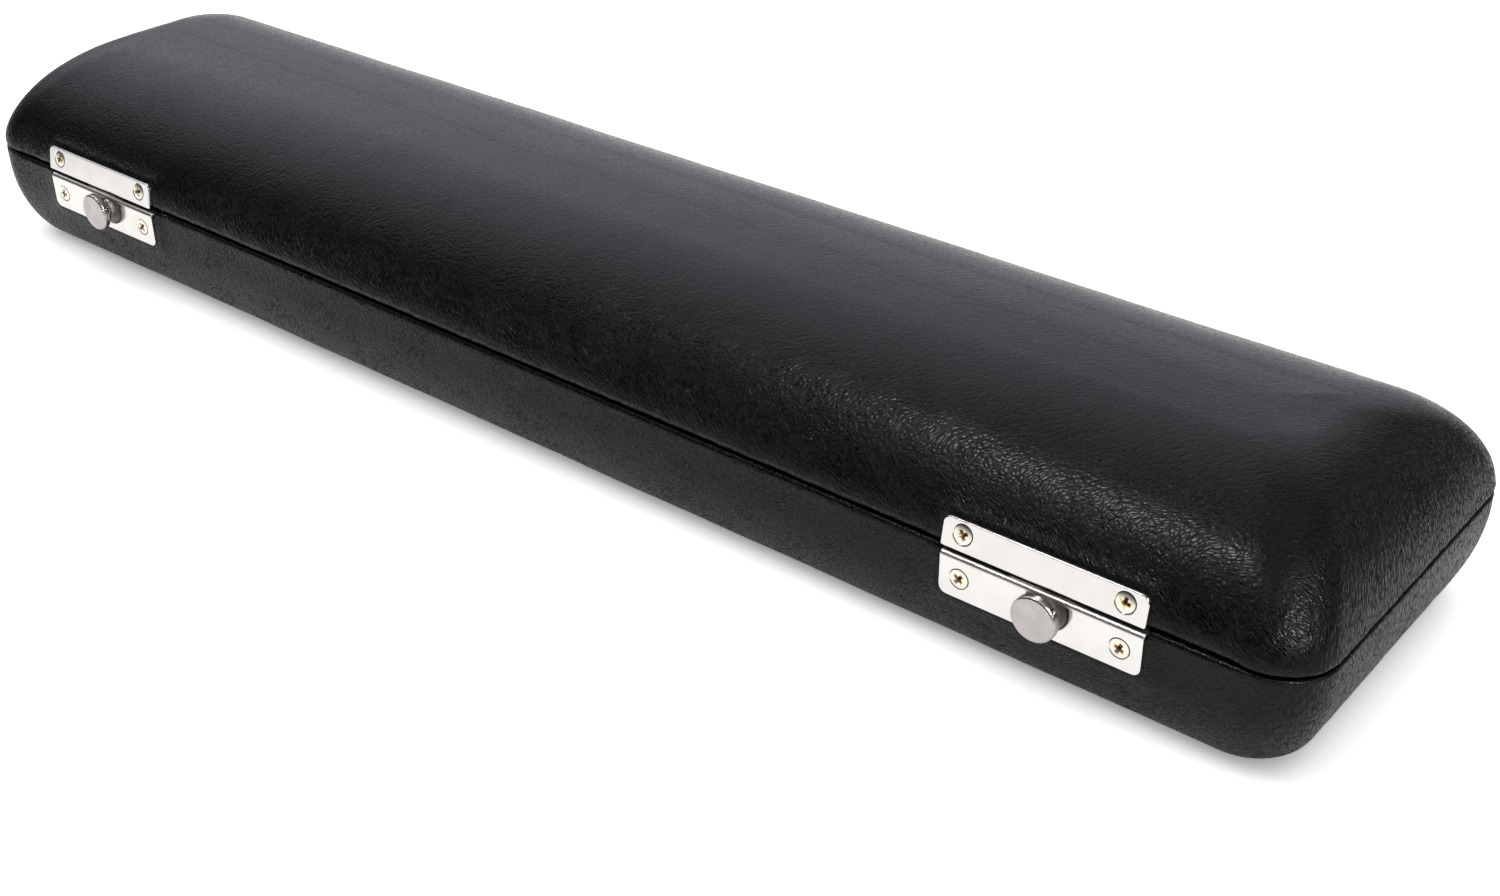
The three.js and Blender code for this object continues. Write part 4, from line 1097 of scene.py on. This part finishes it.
def lid_inside():
    cols = columns(150, 28, 8)
    off, h = LEATHER + GAP + LID_WALL + GAP, LID_H - LEATHER - GAP - CEILING - GAP
    lining = 1.5
    rows = []
    fw, fl = WIDTH / 2 - LID_SIDE["a"], LENGTH / 2 - LID_END["a"]

    def crown(hh, k, r):
        return ring_at(cols, fl - fw * (1 - k), fw * k, r * k, hh)

    hin = h - lining
    for k in (0.0, 0.35, 0.7):
        rows.append(crown(hin, k, 8))
    for k in range(17):
        z = 0.75 + (hin - 0.75) * math.sin((1 - k / 16) * math.pi / 2)
        rows.append(dome_row(cols, LID_SIDE, LID_END, off + lining, hin, z)[0])
    for a in (-60, -30, 0, 30, 60):          # soft rolled edge
        o2 = off + lining / 2 - lining / 2 * math.sin(math.radians(a))
        rows.append(ring_at(cols, LENGTH / 2 - o2, WIDTH / 2 - o2, CORNER_R - o2, 0.75 - 0.25 * math.cos(math.radians(a))))
    for k in range(13):
        z = 0.75 + (h - 0.75) * math.sin(k / 12 * math.pi / 2)
        rows.append(dome_row(cols, LID_SIDE, LID_END, off, h, z)[0])
    for k in (0.7, 0.35, 0.0):
        rows.append(crown(h, k, 8))
    V = np.concatenate(rows)
    V[:, 2] += S
    o = new_object("lid_velvet", V, grid_faces(len(rows), len(cols[0])), clean=1e-3)
    piece(o, "lid", M_VELVET, ["lid_lining"], angle=60, weighted=False)

    # padded panel under the crown
    off2, h2 = off + lining + GAP, h - lining - GAP
    cols2 = columns(90, 16, 6)
    up = [dome_row(cols2, LID_SIDE, LID_END, off2, h2, 12.6 + (h2 - 12.6) * math.sin(k / 6 * math.pi / 2)) for k in range(7)]
    l0, w0, _ = up[0][1]
    rows = [ring_at(cols2, l0 - o2, w0 - o2, 7, z) for z, o2 in ((10.9, 2.4), (11.15, 1.0), (11.8, 0.25))] + [u[0] for u in up]
    top = [ring_at(cols2, up[-1][1][0] - up[-1][1][1] * (1 - k), up[-1][1][1] * k, 8 * k, h2) for k in (0.6, 0.0)]
    low = [ring_at(cols2, l0 - 2.4 - (w0 - 2.4) * (1 - k), (w0 - 2.4) * k, 7 * k, 10.9) for k in (0.0, 0.33, 0.66)]
    rows = low + rows + top
    V = np.concatenate(rows)
    V[:, 2] += S
    o = new_object("lid_cushion", V, grid_faces(len(rows), len(cols2[0])), clean=1e-3)
    move(o, Matrix.Scale(MM, 4))
    r = o.modifiers.new("cloth", "REMESH")
    r.mode, r.voxel_size = "VOXEL", 0.0045
    evaluated(o)
    rest = np.empty(len(o.data.vertices) * 3)
    o.data.vertices.foreach_get("co", rest)
    rest = rest.reshape(-1, 3)
    moved = rest.copy()
    c = o.modifiers.new("Cloth", "CLOTH")
    st = c.settings
    st.quality, st.use_pressure, st.uniform_pressure_force = 6, True, 4.0
    st.effector_weights.gravity = 0.0
    st.mass = 0.3
    c.collision_settings.use_collision = False
    for f in range(1, 21):
        scene.frame_set(f)
    ev = o.evaluated_get(bpy.context.evaluated_depsgraph_get())
    moved = np.empty(len(ev.data.vertices) * 3)
    ev.data.vertices.foreach_get("co", moved)
    moved = moved.reshape(-1, 3)
    o.modifiers.remove(c)
    scene.frame_set(1)
    d = moved - rest
    # the panel can only belly downwards: wood and lining hold it elsewhere
    d[:, 2] = np.clip(d[:, 2], -0.0022, 0.0)
    d[:, :2] = np.clip(d[:, :2], -0.0001, 0.0001)
    rest += d
    o.data.vertices.foreach_set("co", rest.ravel())
    sub = o.modifiers.new("sub", "SUBSURF")
    sub.levels = sub.render_levels = 1
    evaluated(o)
    move(o, Matrix.Scale(1 / MM, 4))
    piece(o, "lid", M_VELVET, ["lid_pad"], angle=180, weighted=False, clean=False)

    # corded edge sewn round the panel
    cols3 = columns(170, 26, 10)
    path = ring_at(cols3, l0 - 2.2, w0 - 2.2, 7, S + 10.75)
    n = len(path)
    nxt, prv = np.roll(path, -1, 0), np.roll(path, 1, 0)
    tan = nxt - prv
    tan /= np.linalg.norm(tan, axis=1)[:, None]
    side = np.cross(tan, (0, 0, 1))
    V = []
    for i in range(n):
        for j in range(10):
            a = 2 * math.pi * j / 10
            r = 0.95
            V.append(path[i] + side[i] * r * math.cos(a) + np.array((0, 0, 1)) * r * math.sin(a))
    o = new_object("lid_cushion_cord", V, grid_faces(n, 10, True), clean=0)
    piece(o, "lid", M_CORD, [], angle=180, weighted=False, clean=False)


def cord_material():
    mat, n = material("twisted_cord")
    P = object_mm(n)
    tw = n.new("ShaderNodeTexWave", dict(wave_type="BANDS", bands_direction="DIAGONAL"), {"Vector": P, "Scale": 0.34, "Distortion": 0.6, "Detail": 1.0}).outputs["Fac"]
    col = n.mixc(tw, (0.05, 0.004, 0.009, 1), (0.16, 0.016, 0.03, 1))
    b = n.new("ShaderNodeBump", None, {"Strength": 1.0, "Distance": 0.0003, "Height": tw})
    principled(n, {"Base Color": col, "Roughness": n.ramp(tw, 0, 1, 0.75, 0.5), "Normal": b.outputs[0], "Sheen Weight": 0.3, "Sheen Roughness": 0.4})
    return mat


M_CORD = cord_material()
fitted_block()
lid_inside()
for name in ("base_shell", "lid_shell"):
    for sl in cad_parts[name].material_slots:
        sl.material = M_WOOD
